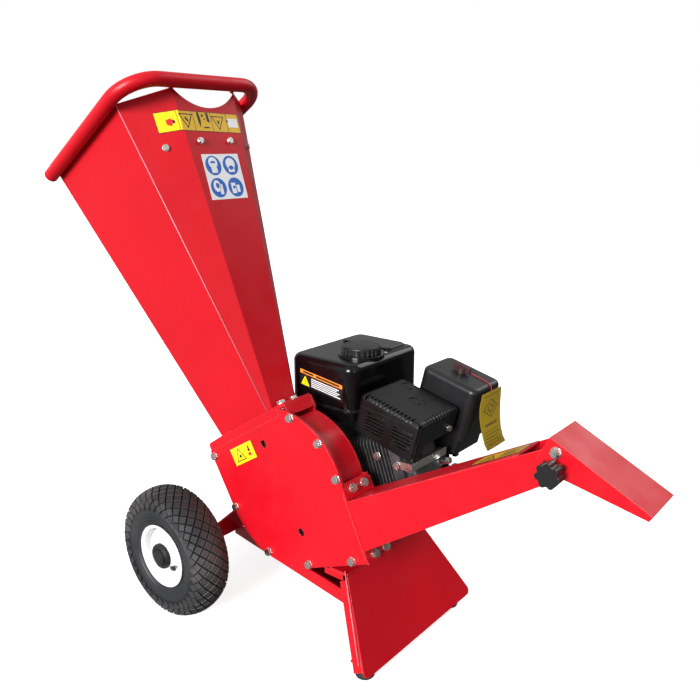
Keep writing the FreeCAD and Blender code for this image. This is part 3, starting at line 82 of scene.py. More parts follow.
# ------------------------------------------------------------------ procedural materials
class Look:
    """A material with a Principled shader and short calls that add nodes in front of it."""

    def __init__(self, name, color, roughness, **sockets):
        self.material = bpy.data.materials.new(name)
        self.material.use_nodes = True
        self.tree = self.material.node_tree
        self.shader = self.tree.nodes["Principled BSDF"]
        self.shader.inputs["Base Color"].default_value = (*color, 1.0)
        self.shader.inputs["Roughness"].default_value = roughness
        for socket, value in sockets.items():
            self.shader.inputs[socket.replace("_", " ")].default_value = value
        self.color = color
        self.place = self.node("TexCoord").outputs["Object"]

    def node(self, kind, links=None, **settings):
        made = self.tree.nodes.new("ShaderNode" + kind)
        for name, value in settings.items():
            setattr(made, name, value)
        for socket, value in (links or {}).items():
            if isinstance(value, bpy.types.NodeSocket):
                self.tree.links.new(value, made.inputs[socket])
            else:
                made.inputs[socket].default_value = value
        return made

    def noise(self, scale, detail=3.0, stretch=(1, 1, 1)):
        place = self.node("Mapping", {"Vector": self.place, "Scale": stretch}).outputs[0]
        return self.node("TexNoise", {"Vector": place, "Scale": scale, "Detail": detail}).outputs["Fac"]

    def cells(self, scale):
        return self.node("TexVoronoi", {"Vector": self.place, "Scale": scale}).outputs["Distance"]

    def span(self, value, low, high, out_low=0.0, out_high=1.0):
        """Map the range low..high of a value to out_low..out_high."""
        return self.node("MapRange", {"Value": value, "From Min": low, "From Max": high,
                                      "To Min": out_low, "To Max": out_high}).outputs[0]

    def times(self, one, other):
        return self.node("Math", {0: one, 1: other}, operation="MULTIPLY").outputs[0]

    def tint(self, factor, color):
        """Blend the present base colour towards another one."""
        base = self.shader.inputs["Base Color"]
        mix = self.node("Mix", {0: factor, 7: (*color, 1.0)}, data_type="RGBA")
        if base.is_linked:
            self.tree.links.new(base.links[0].from_socket, mix.inputs[6])
        else:
            mix.inputs[6].default_value = (*self.color, 1.0)
        self.tree.links.new(mix.outputs[2], base)

    def edges(self, radius):
        """Round the edges in shading; returns a mask that is 1 along them."""
        soft = self.node("Bevel", {"Radius": radius}, samples=4)
        sharp = self.node("NewGeometry").outputs["Normal"]
        dot = self.node("VectorMath", {0: soft.outputs[0], 1: sharp}, operation="DOT_PRODUCT")
        self.normal = soft.outputs[0]
        self.link("Normal", self.normal)
        return self.span(dot.outputs["Value"], 0.995, 0.80)

    def bump(self, height, distance):
        links = {"Height": height, "Distance": distance, "Strength": 1.0}
        if getattr(self, "normal", None):
            links["Normal"] = self.normal
        self.normal = self.node("Bump", links).outputs[0]
        self.link("Normal", self.normal)

    def link(self, socket, value):
        self.tree.links.new(value, self.shader.inputs[socket])


def paint(name, color, roughness=0.3, edge=None, peel=0.00006, radius=0.0012, **sockets):
    """Sprayed or powder paint: orange peel, faint patches, and lighter edges that are partly wear and partly
    a painted highlight.
    """
    look = Look(name, color, roughness, **sockets)
    patches = look.noise(5.0, 2.0)
    look.tint(look.span(patches, 0.35, 0.75, 0.0, 0.35), [c * 0.72 for c in color])
    mask = look.edges(radius)
    # Lighter colour along the bevel's edge mask, broken by noise: partly edge wear, partly a painted
    # highlight.
    if edge:
        edge_wear_and_highlight = look.times(mask, look.span(look.noise(55.0, 4.0), 0.30, 0.60, 0.25, 1.0))
        look.tint(edge_wear_and_highlight, edge)
    look.link("Roughness", look.span(look.noise(24.0, 4.0), 0.3, 0.7, roughness * 0.8, roughness * 1.3))
    look.bump(look.noise(420.0, 1.0), peel)
    return look.material


def moulded(name, color, roughness=0.5, grain=900.0, depth=0.00006, dust=0.12):
    """Moulded plastic or rubber: fine grain, dull patches, a little pale dust, and lighter edges that are
    partly wear and partly a painted highlight.
    """
    look = Look(name, color, roughness)
    look.tint(look.span(look.noise(9.0, 5.0), 0.45, 0.8, 0.0, dust), (0.30, 0.28, 0.26))
    # Lighter grey along the edge mask, broken by noise: partly wear, partly a painted highlight.
    mask = look.edges(0.0008)
    look.tint(look.times(mask, look.span(look.noise(80.0, 3.0), 0.3, 0.7, 0.0, 0.25)), (0.22, 0.22, 0.23))
    look.link("Roughness", look.span(look.noise(30.0, 3.0), 0.3, 0.7, roughness * 0.85, roughness * 1.15))
    look.bump(look.cells(grain), depth)
    return look.material


def metal(name, color, roughness=0.3, grain=700.0, depth=0.00003, stain=(0.3, 0.27, 0.22), share=0.3,
          stretch=(1, 1, 1), metallic=1.0):
    """Bare or plated metal: fine scratches along `stretch`, stains and brighter edges that are a painted
    highlight.
    """
    look = Look(name, color, roughness, Metallic=metallic)
    look.tint(look.span(look.noise(60.0, 5.0), 0.5, 0.8, 0.0, share), stain)
    # Brighter colour along every edge: a painted highlight.
    mask = look.edges(0.0006)
    look.tint(look.times(mask, 0.5), [min(1.0, c * 1.5) for c in color])
    look.link("Roughness", look.span(look.noise(140.0, 4.0), 0.3, 0.7, roughness * 0.7, roughness * 1.4))
    look.bump(look.noise(grain, 4.0, stretch), depth)
    return look.material


red = paint("red_paint", (0.58, 0.0025, 0.011), 0.36, edge=(0.72, 0.10, 0.12), Specular_IOR_Level=0.35)
# Lighter copy of the red paint for the outside of the bends: a painted highlight, with lighter painted
# highlights on its own edges.
fold_highlight_red = paint("fold_highlight_red", (0.85, 0.22, 0.26), 0.28, edge=(0.95, 0.4, 0.43))
gloss_black = paint("black_gloss", (0.0025, 0.0025, 0.0028), 0.14, edge=(0.03, 0.03, 0.032), peel=0.00003,
                    radius=0.0022, Specular_IOR_Level=0.4)
heat_black = paint("black_heat_paint", (0.0035, 0.0035, 0.004), 0.40, edge=(0.018, 0.018, 0.019),
                   radius=0.0016, Specular_IOR_Level=0.35)
rim_white = paint("wheel_white", (0.80, 0.80, 0.79), 0.30, edge=(0.9, 0.9, 0.9), Coat_Weight=0.3)
tyre_rubber = moulded("tyre_rubber", (0.011, 0.012, 0.015), 0.50, 1400.0, 0.00005, 0.10)
tread_rubber = moulded("tread_rubber", (0.017, 0.017, 0.019), 0.60, 1200.0, 0.00007, 0.28)
rubber = moulded("rubber", (0.008, 0.008, 0.008), 0.68, 1100.0, 0.00006, 0.10)
black_plastic = moulded("black_plastic", (0.006, 0.006, 0.0065), 0.40, 1000.0, 0.00005, 0.04)
cleaner_plastic = moulded("cleaner_plastic", (0.007, 0.0075, 0.0085), 0.36, 1500.0, 0.00003, 0.04)
maroon_plastic = moulded("maroon_plastic", (0.035, 0.006, 0.010), 0.38)
yellow_plastic = moulded("yellow_plastic", (0.78, 0.46, 0.02), 0.42)
switch_red = moulded("switch_red", (0.50, 0.02, 0.02), 0.40)
tag_paper = moulded("tag_paper", (0.50, 0.33, 0.010), 0.55, 600.0, 0.00004, 0.10)
string_red = moulded("string_red", (0.30, 0.008, 0.02), 0.6, 2500.0, 0.0001, 0.05)
zinc = metal("zinc", (0.74, 0.72, 0.68), 0.28, share=0.35)
steel = metal("steel", (0.50, 0.50, 0.51), 0.34, stretch=(1, 8, 1))
cast_aluminium = metal("cast_aluminium", (0.10, 0.102, 0.105), 0.46, 500.0, 0.0001, (0.02, 0.02, 0.02), 0.5,
                       metallic=0.7)
cast_iron = metal("cast_iron", (0.12, 0.12, 0.125), 0.55, 380.0, 0.00014, (0.16, 0.08, 0.04), 0.4,
                  metallic=0.8)
CAPPED_FROM = 0.236                     # metres from the middle, where the push-on caps begin


def axle_steel():
    """Bright bar with ends that are painted black with the push-on caps."""
    look = Look("axle_steel", (0.42, 0.42, 0.43), 0.36, Metallic=0.9)
    look.tint(look.span(look.noise(60.0, 5.0), 0.5, 0.8, 0.0, 0.4), (0.22, 0.20, 0.18))
    away = look.node("Math", {0: look.node("SeparateXYZ", {0: look.place}).outputs[1]}, operation="ABSOLUTE")
    painted = look.span(away.outputs[0], CAPPED_FROM, CAPPED_FROM + MM)
    look.tint(painted, (0.012, 0.012, 0.013))
    look.link("Metallic", look.span(painted, 0.0, 1.0, 0.9, 0.0))
    look.edges(0.0008)
    look.bump(look.noise(600.0, 3.0, (6, 1, 6)), 0.00003)
    return look.material


MATERIALS = {
    axle_steel(): "axle",
    red: "axle_beam frame_rails deck_plate leg casing_front_plate casing_back_plate casing_wall "
         "hopper_base hopper_panels handle_rail chute deflector",
    gloss_black: "fuel_tank fan_cover recoil_cover",
    heat_black: "muffler_cover engine_brackets",
    rim_white: "rim_front rim_back",
    rubber: "rubber_feet feed_flap",
    black_plastic: "axle_collars hub_front hub_back clamp_knob fuel_cap starter_grip engine_pads "
                   "throttle_lever choke_lever fuel_lever",
    cleaner_plastic: "air_cleaner_base air_cleaner_cover",
    maroon_plastic: "wing_knob",
    yellow_plastic: "oil_caps",
    switch_red: "engine_switch",
    zinc: "m8_bolts m6_bolts pivot_bolts clamp_stud exhaust_deflector spark_plug",
    steel: "bed_knife rotor rotor_knives crankshaft starter_cup muffler",
    cast_aluminium: "crankcase side_cover cylinder cylinder_head rocker_cover carburettor",
    cast_iron: "flywheel",
    tyre_rubber: "tyre_front tyre_back",
    tag_paper: "hang_tag",
    string_red: "tag_string",
}
for material, names in MATERIALS.items():
    for name in names.split():
        nodes[name].data.materials.clear()
        nodes[name].data.materials.append(material)


# ------------------------------------------------------------------ mesh helpers
def piece(name, points, faces, material, body, smooth=False, which=None):
    """A new mesh piece; `material` is one material or a list picked per face by `which`."""
    mesh = bpy.data.meshes.new(name)
    mesh.from_pydata([tuple(p) for p in points], [], faces)
    for m in material if isinstance(material, list) else [material]:
        mesh.materials.append(m)
    for index, polygon in enumerate(mesh.polygons):
        polygon.use_smooth = smooth
        polygon.material_index = which[index] if which else 0
    mesh.validate()
    made = bpy.data.objects.new(name, mesh)
    bpy.context.scene.collection.objects.link(made)
    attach(made, body)
    return made


def revolved(profile, y, steps):
    """Points and faces of a closed profile of (offset from y, radius) turned about the wheel axle."""
    points, faces = [], []
    count = len(profile)
    for k in range(steps):
        angle = 2 * math.pi * k / steps
        points += [level(r * math.cos(angle), y + w, WHEEL_Z + r * math.sin(angle)) for w, r in profile]
    for k in range(steps):
        nxt = (k + 1) % steps
        for j in range(count):
            i = (j + 1) % count
            faces.append((k * count + j, k * count + i, nxt * count + i, nxt * count + j))
    return points, faces


def arc_points(start, middle, end, count):
    """Points on the circle through three 2-D places."""
    (ax, ay), (bx, by), (cx, cy) = start, middle, end
    d = 2 * (ax * (by - cy) + bx * (cy - ay) + cx * (ay - by))
    sa, sb, sc = ax * ax + ay * ay, bx * bx + by * by, cx * cx + cy * cy
    ox = (sa * (by - cy) + sb * (cy - ay) + sc * (ay - by)) / d
    oy = (sa * (cx - bx) + sb * (ax - cx) + sc * (bx - ax)) / d
    radius = math.hypot(ax - ox, ay - oy)
    first = math.atan2(ay - oy, ax - ox)
    sweep = math.atan2(cy - oy, cx - ox) - first
    sweep = (sweep + math.pi) % (2 * math.pi) - math.pi
    return [(ox + radius * math.cos(first + sweep * k / count),
             oy + radius * math.sin(first + sweep * k / count)) for k in range(count + 1)]


# ------------------------------------------------------------------ wheels
SIDE_NAMES = {-1: "front", 1: "back"}
GROOVE = 4.2                            # depth of the tread
SKIN = 0.9                              # carcass under its nominal surface
TREAD_COLUMNS, TREAD_ROWS = 36, 11
ROW_PITCH, ROW_GAP = 10.4, 1.75
OUTER_ROW = TREAD_ROWS // 2
TREAD_HALF = (OUTER_ROW + 1) * ROW_PITCH
BLOCK_FILL = 0.845                      # share of a column's pitch that a block takes
OUTER_STRETCH = 1.25                    # outermost blocks reach further down the sidewall
CARCASS_STATIONS, TYRE_STEPS, RIM_STEPS, HUB_STEPS = 88, 144, 96, 64
BEAD = [(31.0, 57.0), (-31.0, 57.0)]


def tread_line():
    """Outer tyre profile from one bead over the crown to the other, as (offset, radius) places."""
    left = arc_points((-32.0, 66.0), (-39.0, 92.0), (-34.5, 117.0), 14)
    crown = arc_points((-34.5, 117.0), (0.0, 128.0), (34.5, 117.0), 20)
    right = [(-w, r) for w, r in reversed(left)]
    return left[:-1] + crown + right[1:]


class Arclength:
    """Place and outward direction on the tyre profile by distance from its crown."""

    def __init__(self, line):
        self.line = line
        self.length = [0.0]
        for a, b in zip(line, line[1:]):
            self.length.append(self.length[-1] + math.dist(a, b))
        self.half = self.length[-1] / 2

    def at(self, s, lift):
        s = min(max(s + self.half, 0.01), self.length[-1] - 0.01)
        k = max(i for i, value in enumerate(self.length[:-1]) if value <= s)
        a, b = self.line[k], self.line[k + 1]
        share = (s - self.length[k]) / (self.length[k + 1] - self.length[k])
        run = math.dist(a, b)
        tx, ty = (b[0] - a[0]) / run, (b[1] - a[1]) / run
        return (a[0] + (b[0] - a[0]) * share - ty * lift, a[1] + (b[1] - a[1]) * share + tx * lift)


def carcass_profile(rail):
    """Profile under the tread blocks, with fine ribs on both sidewalls."""
    profile = []
    for k in range(CARCASS_STATIONS + 1):
        s = -rail.half + 2 * rail.half * k / CARCASS_STATIONS
        away = abs(s)
        reach = min(1.0, max(0.0, (TREAD_HALF + 4 - away) / 6))
        rib = 0.8 * max(0.0, math.sin(away * 0.95)) if TREAD_HALF + 7 < away < rail.half - 5 else 0.0
        profile.append(rail.at(s, rib - SKIN - (GROOVE - SKIN) * reach))
    return profile + BEAD


def tread_block(rail, side, row, angle, top):
    """Twelve points of a diamond block: its foot in the groove, its shoulder and its smaller top."""
    pitch = 2 * math.pi / TREAD_COLUMNS
    points = []
    for lift, grow in ((-GROOVE - 0.3, 1.12), (-0.7 + top, 1.0), (top, 0.90)):
        for around, across in ((1, 0), (0, 1), (-1, 0), (0, -1)):
            stretch = OUTER_STRETCH if abs(row) == OUTER_ROW and across * row > 0 else 1.0
            w, r = rail.at(row * ROW_PITCH + across * (ROW_PITCH - ROW_GAP) * grow * stretch, lift)
            turn = angle + around * pitch * 0.5 * BLOCK_FILL * grow
            points.append(level(r * math.cos(turn), side * WHEEL_Y + w, WHEEL_Z + r * math.sin(turn)))
    return points


def tyre(side):
    """Carcass with ribbed sidewalls, and the lattice of tread blocks standing on it."""
    rail = Arclength(tread_line())
    points, faces = revolved(carcass_profile(rail), side * WHEEL_Y, TYRE_STEPS)
    which = [0] * len(faces)
    draw = random.Random(11)
    for row in range(-OUTER_ROW, OUTER_ROW + 1):
        for column in range(TREAD_COLUMNS):
            angle = (column + 0.5 * (row % 2)) * 2 * math.pi / TREAD_COLUMNS
            base = len(points)
            points += tread_block(rail, side, row, angle, draw.uniform(-0.25, 0.0))
            for ring in (base, base + 4):
                for k in range(4):
                    j = (k + 1) % 4
                    faces.append((ring + k, ring + j, ring + 4 + j, ring + 4 + k))
            faces.append((base + 8, base + 9, base + 10, base + 11))
            faces.append((base + 3, base + 2, base + 1, base))
            which += [1] * 10
    name = "tyre_" + SIDE_NAMES[side]
    made = piece(name + "_treaded", points, faces, [tyre_rubber, tread_rubber],
                 "wheel_" + SIDE_NAMES[side], True, which)
    made.data.set_sharp_from_angle(angle=math.radians(32))
    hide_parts(name)


def wheel_rim(side):
    """Pressed steel rim: rolled lips, barrel and a dished disc with one stamped ring."""
    y = side * WHEEL_Y
    half = [(0.0, 55.5), (20.0, 55.5), (26.0, 57.2), (30.6, 57.5), (31.2, 60.0), (32.0, 61.6), (33.2, 62.0),
            (34.0, 61.2), (33.9, 58.5), (33.0, 56.4), (30.5, 54.0), (24.0, 53.0), (0.0, 53.0)]
    points, faces = revolved(half + [(-w, r) for w, r in reversed(half[1:-1])], y, RIM_STEPS)
    outer = [(14.0, 53.6), (17.0, 51.5), (20.5, 48.5), (22.8, 44.5), (23.6, 40.0), (25.2, 36.0),
             (28.0, 32.5), (29.2, 29.0), (29.4, 20.0)]
    sheet = 2.0
    dish = [(side * w, r) for w, r in outer] + [(side * (w - sheet), r) for w, r in reversed(outer)]
    more, extra = revolved(dish, y, RIM_STEPS)
    faces += [tuple(i + len(points) for i in face) for face in extra]
    name = "rim_" + SIDE_NAMES[side]
    made = piece(name + "_pressed", points + more, faces, rim_white, "wheel_" + SIDE_NAMES[side],
                 True)
    made.data.set_sharp_from_angle(angle=math.radians(50))
    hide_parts(name)


def hub_face(side):
    """Stepped rings of the moulded hub round the axle end."""
    rings = [(28.0, 24.6), (34.4, 24.5), (36.4, 23.4), (37.0, 21.8), (35.9, 20.8), (35.9, 19.0),
             (37.4, 18.3), (37.6, 16.8), (36.2, 15.9), (36.2, 15.2), (33.0, 15.2), (28.0, 16.0)]
    points, faces = revolved([(side * w, r) for w, r in rings], side * WHEEL_Y, HUB_STEPS)
    made = piece("hub_rings_" + SIDE_NAMES[side], points, faces, black_plastic, "wheel_" + SIDE_NAMES[side],
                 True)
    made.data.set_sharp_from_angle(angle=math.radians(35))


def tube_along(path, radii, sides=12):
    """Points and faces of a closed tube through 3-D places with a radius at each."""
    points, faces = [], []
    count = len(path)
    for k, (place, radius) in enumerate(zip(path, radii)):
        before, after = path[max(k - 1, 0)], path[min(k + 1, count - 1)]
        turn = (after - before).to_track_quat("Z", "Y")
        for j in range(sides):
            angle = 2 * math.pi * j / sides
            points.append(place + turn @ Vector((math.cos(angle), math.sin(angle), 0)) * radius)
    for k in range(count - 1):
        for j in range(sides):
            i = (j + 1) % sides
            faces.append((k * sides + j, k * sides + i, (k + 1) * sides + i, (k + 1) * sides + j))
    faces.append(tuple(range(sides))[::-1])
    faces.append(tuple((count - 1) * sides + j for j in range(sides)))
    return points, faces


def valve_stem(side):
    """Rubber valve standing out of the rim's disc."""
    y = side * WHEEL_Y
    root = level(26.5, y + side * 25, WHEEL_Z - 19.0)
    tip = level(37.0, y + side * 38, WHEEL_Z - 8.0)
    stations = [(0.0, 5.2), (0.10, 5.4), (0.16, 3.9), (0.5, 3.5), (0.54, 3.0), (0.57, 3.0), (0.60, 3.5),
                (0.95, 3.3), (1.0, 2.4)]
    path = [root.lerp(tip, share) for share, _ in stations]
    points, faces = tube_along(path, [r * MM for _, r in stations], 16)
    made = piece("valve_" + SIDE_NAMES[side], points, faces, rubber, "wheel_" + SIDE_NAMES[side],
                 True)
    made.data.set_sharp_from_angle(angle=math.radians(40))


for wheel_side in (-1, 1):
    tyre(wheel_side)
    wheel_rim(wheel_side)
    hub_face(wheel_side)
    valve_stem(wheel_side)


# ------------------------------------------------------------------ welds
RIPPLE = 3.2                            # length of one ripple


def weld(name, start, end, radius):
    """Ripple weld bead between two places on the frame."""
    length = (end - start).length / MM
    beads = max(4, round(length / RIPPLE))
    draw = random.Random(name)
    path, radii = [], []
    for k in range(beads * 4 + 1):
        share = k / (beads * 4)
        swell = 1.0 + 0.16 * math.cos(2 * math.pi * share * beads)
        tip = min(1.0, 0.35 + 4.0 * min(share, 1 - share) * beads / 6)
        path.append(start.lerp(end, share))
        radii.append(radius * MM * swell * tip * draw.uniform(0.95, 1.05))
    points, faces = tube_along(path, radii, 10)
    piece("weld_" + name, points, faces, red, "frame", True)


# ------------------------------------------------------------------ labels
def flat(name, color, roughness=0.35):
    """Printed film: even colour with faint mottling and a fine surface ripple."""
    look = Look(name, color, roughness, Coat_Weight=0.3)
    look.tint(look.span(look.noise(90.0, 3.0), 0.35, 0.8, 0.0, 0.18), [c * 0.7 for c in color])
    look.bump(look.noise(260.0, 2.0), 0.00003)
    return look.material


film_yellow = flat("film_yellow", (0.95, 0.72, 0.005))
film_amber = flat("film_amber", (0.80, 0.47, 0.01))
film_black = flat("film_black", (0.010, 0.010, 0.010))
film_white = flat("film_white", (0.86, 0.87, 0.90))
film_blue = flat("film_blue", (0.012, 0.13, 0.52))
film_orange = flat("film_orange", (0.88, 0.27, 0.03))
film_red = flat("film_red", (0.75, 0.02, 0.02))
film_print = flat("film_print", (0.22, 0.14, 0.02), 0.5)
FILMS = [film_yellow, film_amber, film_black, film_white, film_blue, film_orange, film_red, film_print]


def bar(u0, v0, u1, v1):
    return [[(u0, v0), (u1, v0), (u1, v1), (u0, v1)]]


def disc(u, v, radius, squash=1.0, steps=28):
    return [[(u + radius * math.cos(2 * math.pi * k / steps),
              v + radius * squash * math.sin(2 * math.pi * k / steps)) for k in range(steps)]]


def frame_of(corners, width):
    """Outline of a closed polygon as a row of four-sided strips."""
    cu = sum(p[0] for p in corners) / len(corners)
    cv = sum(p[1] for p in corners) / len(corners)
    inner = [(cu + (u - cu) * (1 - width), cv + (v - cv) * (1 - width)) for u, v in corners]
    strips = []
    for k in range(len(corners)):
        j = (k + 1) % len(corners)
        strips.append([corners[k], corners[j], inner[j], inner[k]])
    return strips


def triangle(u, v, size, up=1):
    return [(u - size, v - up * size * 0.8), (u + size, v - up * size * 0.8), (u, v + up * size * 0.95)]


def label(name, place, layers):
    """Thin printed label on the frame: layers are (film, lift, polygons) in its own flat millimetres."""
    points, faces, which = [], [], []
    for film, lift, polygons in layers:
        for polygon in polygons:
            area = sum(a[0] * b[1] - b[0] * a[1] for a, b in zip(polygon, polygon[1:] + polygon[:1]))
            corners = polygon if area > 0 else polygon[::-1]
            base, count = len(points), len(corners)
            points += [place(u, v, lift) for u, v in corners] + [place(u, v, 0.0) for u, v in corners]
            faces.append(tuple(range(base, base + count)))
            faces.append(tuple(range(base + 2 * count - 1, base + count - 1, -1)))
            for k in range(count):
                j = (k + 1) % count
                faces.append((base + count + k, base + count + j, base + j, base + k))
            which += [FILMS.index(film)] * (count + 2)
    used = sorted(set(which))
    piece(name, points, faces, [FILMS[k] for k in used], "frame",
          which=[used.index(k) for k in which])


MOUTH_V, PANEL_RISE = 697.0, 562.0      # height of the mouth in the hopper frame, and of its panels
HIGH_U, WALL_RUN = 191.0, 137.0         # upper edge of the high wall, and how far it leans out
WALL_SLOPE = math.atan2(WALL_RUN, PANEL_RISE)


def fold_places(share):
    """Places on the two folds of the front chamfer, `share` of the way from the throat to the mouth."""
    v = MOUTH_V - PANEL_RISE * (1 - share)
    far = hopper_at(48.5 + 87.5 * share, CASING_FRONT - 116 * share, v)
    near = hopper_at(HIGH_U - WALL_RUN * (1 - share), -112 - 44 * share, v)
    return far, near


def wall_place(y, down, lift):
    """High wall: y across it and `down` from its top edge."""
    return hopper_at(HIGH_U - down * math.sin(WALL_SLOPE) + lift * math.cos(WALL_SLOPE), y,
                     MOUTH_V - down * math.cos(WALL_SLOPE) - lift * math.sin(WALL_SLOPE))


def chamfer_place(out, down, lift):
    """Front chamfer: `out` from its fold with the high wall and `down` from the top."""
    far, near = fold_places(1 - down * math.cos(WALL_SLOPE) / PANEL_RISE)
    across = (far - near).normalized()
    outward = across.cross(fold_places(0.0)[1] - near).normalized()
    return near + across * out * MM + outward * lift * MM


LIFT, PRINT, OVER, TOP = 0.25, 0.33, 0.41, 0.49     # thickness of the film and of each layer of print
STRIP_TOP, STRIP_DEEP, STRIP_LONG = 39.0, 35.0, 131.0
WALL_FOLD_Y = -153.0


def outline_bars(left, right, line=0.9):
    """Thin lines along a strip's lower and upper edge."""
    return bar(left, 0, right, line) + bar(left, STRIP_DEEP - line, right, STRIP_DEEP)


def strip_on_wall(u, v, lift):
    """Pictogram strip: u from the fold towards the back, v up from its lower edge."""
    return wall_place(WALL_FOLD_Y + u, STRIP_TOP + STRIP_DEEP - v + 0.03 * u, lift)


def strip_on_chamfer(u, v, lift):
    """The strip's other end: u is negative, from the fold towards the front."""
    return chamfer_place(-u, STRIP_TOP - 1 + STRIP_DEEP - v + 0.15 * u, lift)


label("label_strip_wall", strip_on_wall, [
    (film_amber, LIFT, bar(0.4, 0, STRIP_LONG, STRIP_DEEP)),
    (film_black, PRINT, frame_of(triangle(13, 18, 15, -1), 0.22)
     + frame_of(triangle(83, 17, 14.5, -1), 0.2)
     + [[(9, 22), (15, 15), (17, 18), (12, 25)], [(81, 17), (84, 13), (86, 20), (82, 22)]]
     + [[(37, 33), (42, 34), (44, 19), (41, 6), (38, 17)], [(57, 33), (62, 34), (64, 16), (58, 18)]]
     + disc(49, 28, 2.4) + disc(52, 22, 1.6) + bar(48, 6, 60, 8.5) + bar(102, 19, 106, 23)
     + bar(28.4, 1, 29.3, 34) + bar(67.6, 1, 68.5, 34) + bar(102.4, 1, 103.3, 34)
     + outline_bars(0.4, STRIP_LONG)),
    (film_white, PRINT, bar(105, 10, 128, 26)),
])
label("label_strip_chamfer", strip_on_chamfer, [
    (film_yellow, LIFT, bar(-43, 0, -0.4, STRIP_DEEP)),
    (film_black, PRINT, outline_bars(-43, -0.4) + bar(-43, 0, -42.2, STRIP_DEEP)
     + [[(-15, 21), (-11, 18), (-10, 14), (-14, 13)]] + bar(-5.4, 1, -4.6, 34)),
    (film_red, PRINT, [[(-26, 20), (-17, 22), (-13, 16), (-18, 9), (-25, 12)]]),
])

# One blue disc for each sign: its middle, the white shapes on it and the blue ones on those
SIGN_RADIUS = 17.5
SIGNS = [
    ((-106, -136), disc(0, 5, 10) + bar(-6, -13, 7, -4), disc(0, 6, 6, 0.35)),
    ((-66.5, -136.5), disc(0, 3, 10.5) + bar(-7, -12, 7, -4), disc(0, -4, 5.5, 0.7)),
    ((-106, -175.5), disc(-3, 3, 8, 1.3) + bar(2, -12, 9, 6), disc(-2, 4, 3.5, 1.4)),
    ((-66.5, -176), bar(-10, -11, 0, 8) + bar(2, -9, 9, 4), disc(-4, 0, 3.0)),
]


def moved(shapes, middle):
    return [[(u + middle[0], v + middle[1]) for u, v in shape] for shape in shapes]


label("label_wall_discs", lambda u, v, lift: wall_place(u, -v, lift), [
    (film_white, LIFT, bar(-127.5, -196.5, -43.5, -115.7)),
    (film_blue, PRINT, [part for middle, _, _ in SIGNS for part in moved(disc(0, 0, SIGN_RADIUS), middle)]),
    (film_white, OVER, [part for middle, marks, _ in SIGNS for part in moved(marks, middle)]),
    (film_blue, TOP, [part for middle, _, marks in SIGNS for part in moved(marks, middle)]),
])


def casing_place(u, v, lift):
    """Casing's front plate, in the hopper frame."""
    return hopper_at(u, CASING_FRONT - lift, v)


label("label_casing", casing_place, [
    (film_yellow, LIFT, bar(-95, 69.5, -26, 104)),
    (film_black, PRINT, frame_of([(-95, 69.5), (-26, 69.5), (-26, 104), (-95, 104)], 0.035)
     + frame_of([(-86, 75), (-56, 75), (-71, 101)], 0.22) + disc(-71, 84, 3.2) + bar(-43, 86, -39, 97)),
    (film_red, PRINT, bar(-47, 78, -38, 84) + disc(-43, 89, 2.6)),
])


def tank_place(u, v, lift):
    """Front of the tank: u along it and v up, on the label's own slant."""
    return level(156.0 + u, -20.0 - lift, 446.0 + v - 0.135 * u)


text_lines = sum((bar(28, 4.5 + k * 3.6, 99 - (k * 7) % 12, 6.2 + k * 3.6) for k in range(5)), [])
label("label_tank_front", tank_place, [
    (film_black, LIFT, bar(0, 0, 104, 33)),
    (film_orange, PRINT, bar(1, 24.5, 103, 32)),
    (film_white, PRINT, text_lines),
    (film_yellow, PRINT, [triangle(13, 11.5, 10.5)]),
    (film_black, OVER, bar(12.2, 8, 13.8, 15) + disc(13, 6, 1.0) + bar(8, 26.5, 34, 30)
     + bar(40, 26.5, 96, 30)),
])


def tank_top_place(u, v, lift):
    """Top of the tank: u towards the back and v towards the wheels."""
    return level(271.0 - v, 32.0 + u, 503.0 + lift)


label("label_tank_top", tank_top_place, [
    (film_yellow, LIFT, bar(0, 7, 68, 13)),
    (film_white, LIFT, bar(0, 0, 68, 6)),
    (film_black, PRINT, sum((bar(3 + k * 9, 1, 7 + k * 9, 5) for k in range(7)), [])
     + bar(6, 9, 60, 11)),
])


ROOF_START, ROOF_END = (150.4, -45.2), (494.0, -23.3)


def roof_place(u, v, lift):
    """Chute roof: u along the chute from the casing, v across towards the back."""
    slope = math.atan2(ROOF_END[1] - ROOF_START[1], ROOF_END[0] - ROOF_START[0])
    return chute_at(ROOF_START[0] + u * math.cos(slope) - lift * math.sin(slope), CASING_FRONT + v,
                    ROOF_START[1] + u * math.sin(slope) + lift * math.cos(slope))


label("label_chute", roof_place, [
    (film_amber, LIFT, bar(250, 18, 338, 60)),
    (film_black, PRINT, frame_of([(250, 18), (338, 18), (338, 60), (250, 60)], 0.05)
     + frame_of(triangle(275, 38, 15), 0.24) + disc(275, 36, 3)
     + sum((bar(298, 24 + k * 6, 332 - (k % 2) * 8, 27 + k * 6) for k in range(5)), [])),
])


# ------------------------------------------------------------------ tag and string
TAG_X, TAG_LOW, TAG_HIGH, TAG_THICK = 461.5, 336.0, 453.0, 0.6
TAG_PRINT_TALL = 116.9
# Height of each station with the tag's left and right edge there
TAG_EDGE = [(336.0, 154.0, 222.0), (352.0, 140.0, 208.0), (372.0, 130.5, 198.5), (394.0, 124.0, 196.0),
            (406.0, 121.0, 195.5), (428.0, 118.5, 194.0), (442.0, 120.5, 193.0), (453.0, 124.0, 192.0)]


def tag_place(across, z, lift):
    """Place on the curled paper tag: across it from 0 to 1, at height z."""
    k = max(i for i in range(len(TAG_EDGE) - 1) if TAG_EDGE[i][0] <= z)
    low, high = TAG_EDGE[k], TAG_EDGE[k + 1]
    share = (z - low[0]) / (high[0] - low[0])
    left, right = (low[i] + (high[i] - low[i]) * share for i in (1, 2))
    curl = 0.9 + 0.9 * math.sin((z - TAG_LOW) * 0.062) + 0.5 * math.sin(across * 4.0)
    return level(TAG_X + curl + lift, left + (right - left) * across, z)


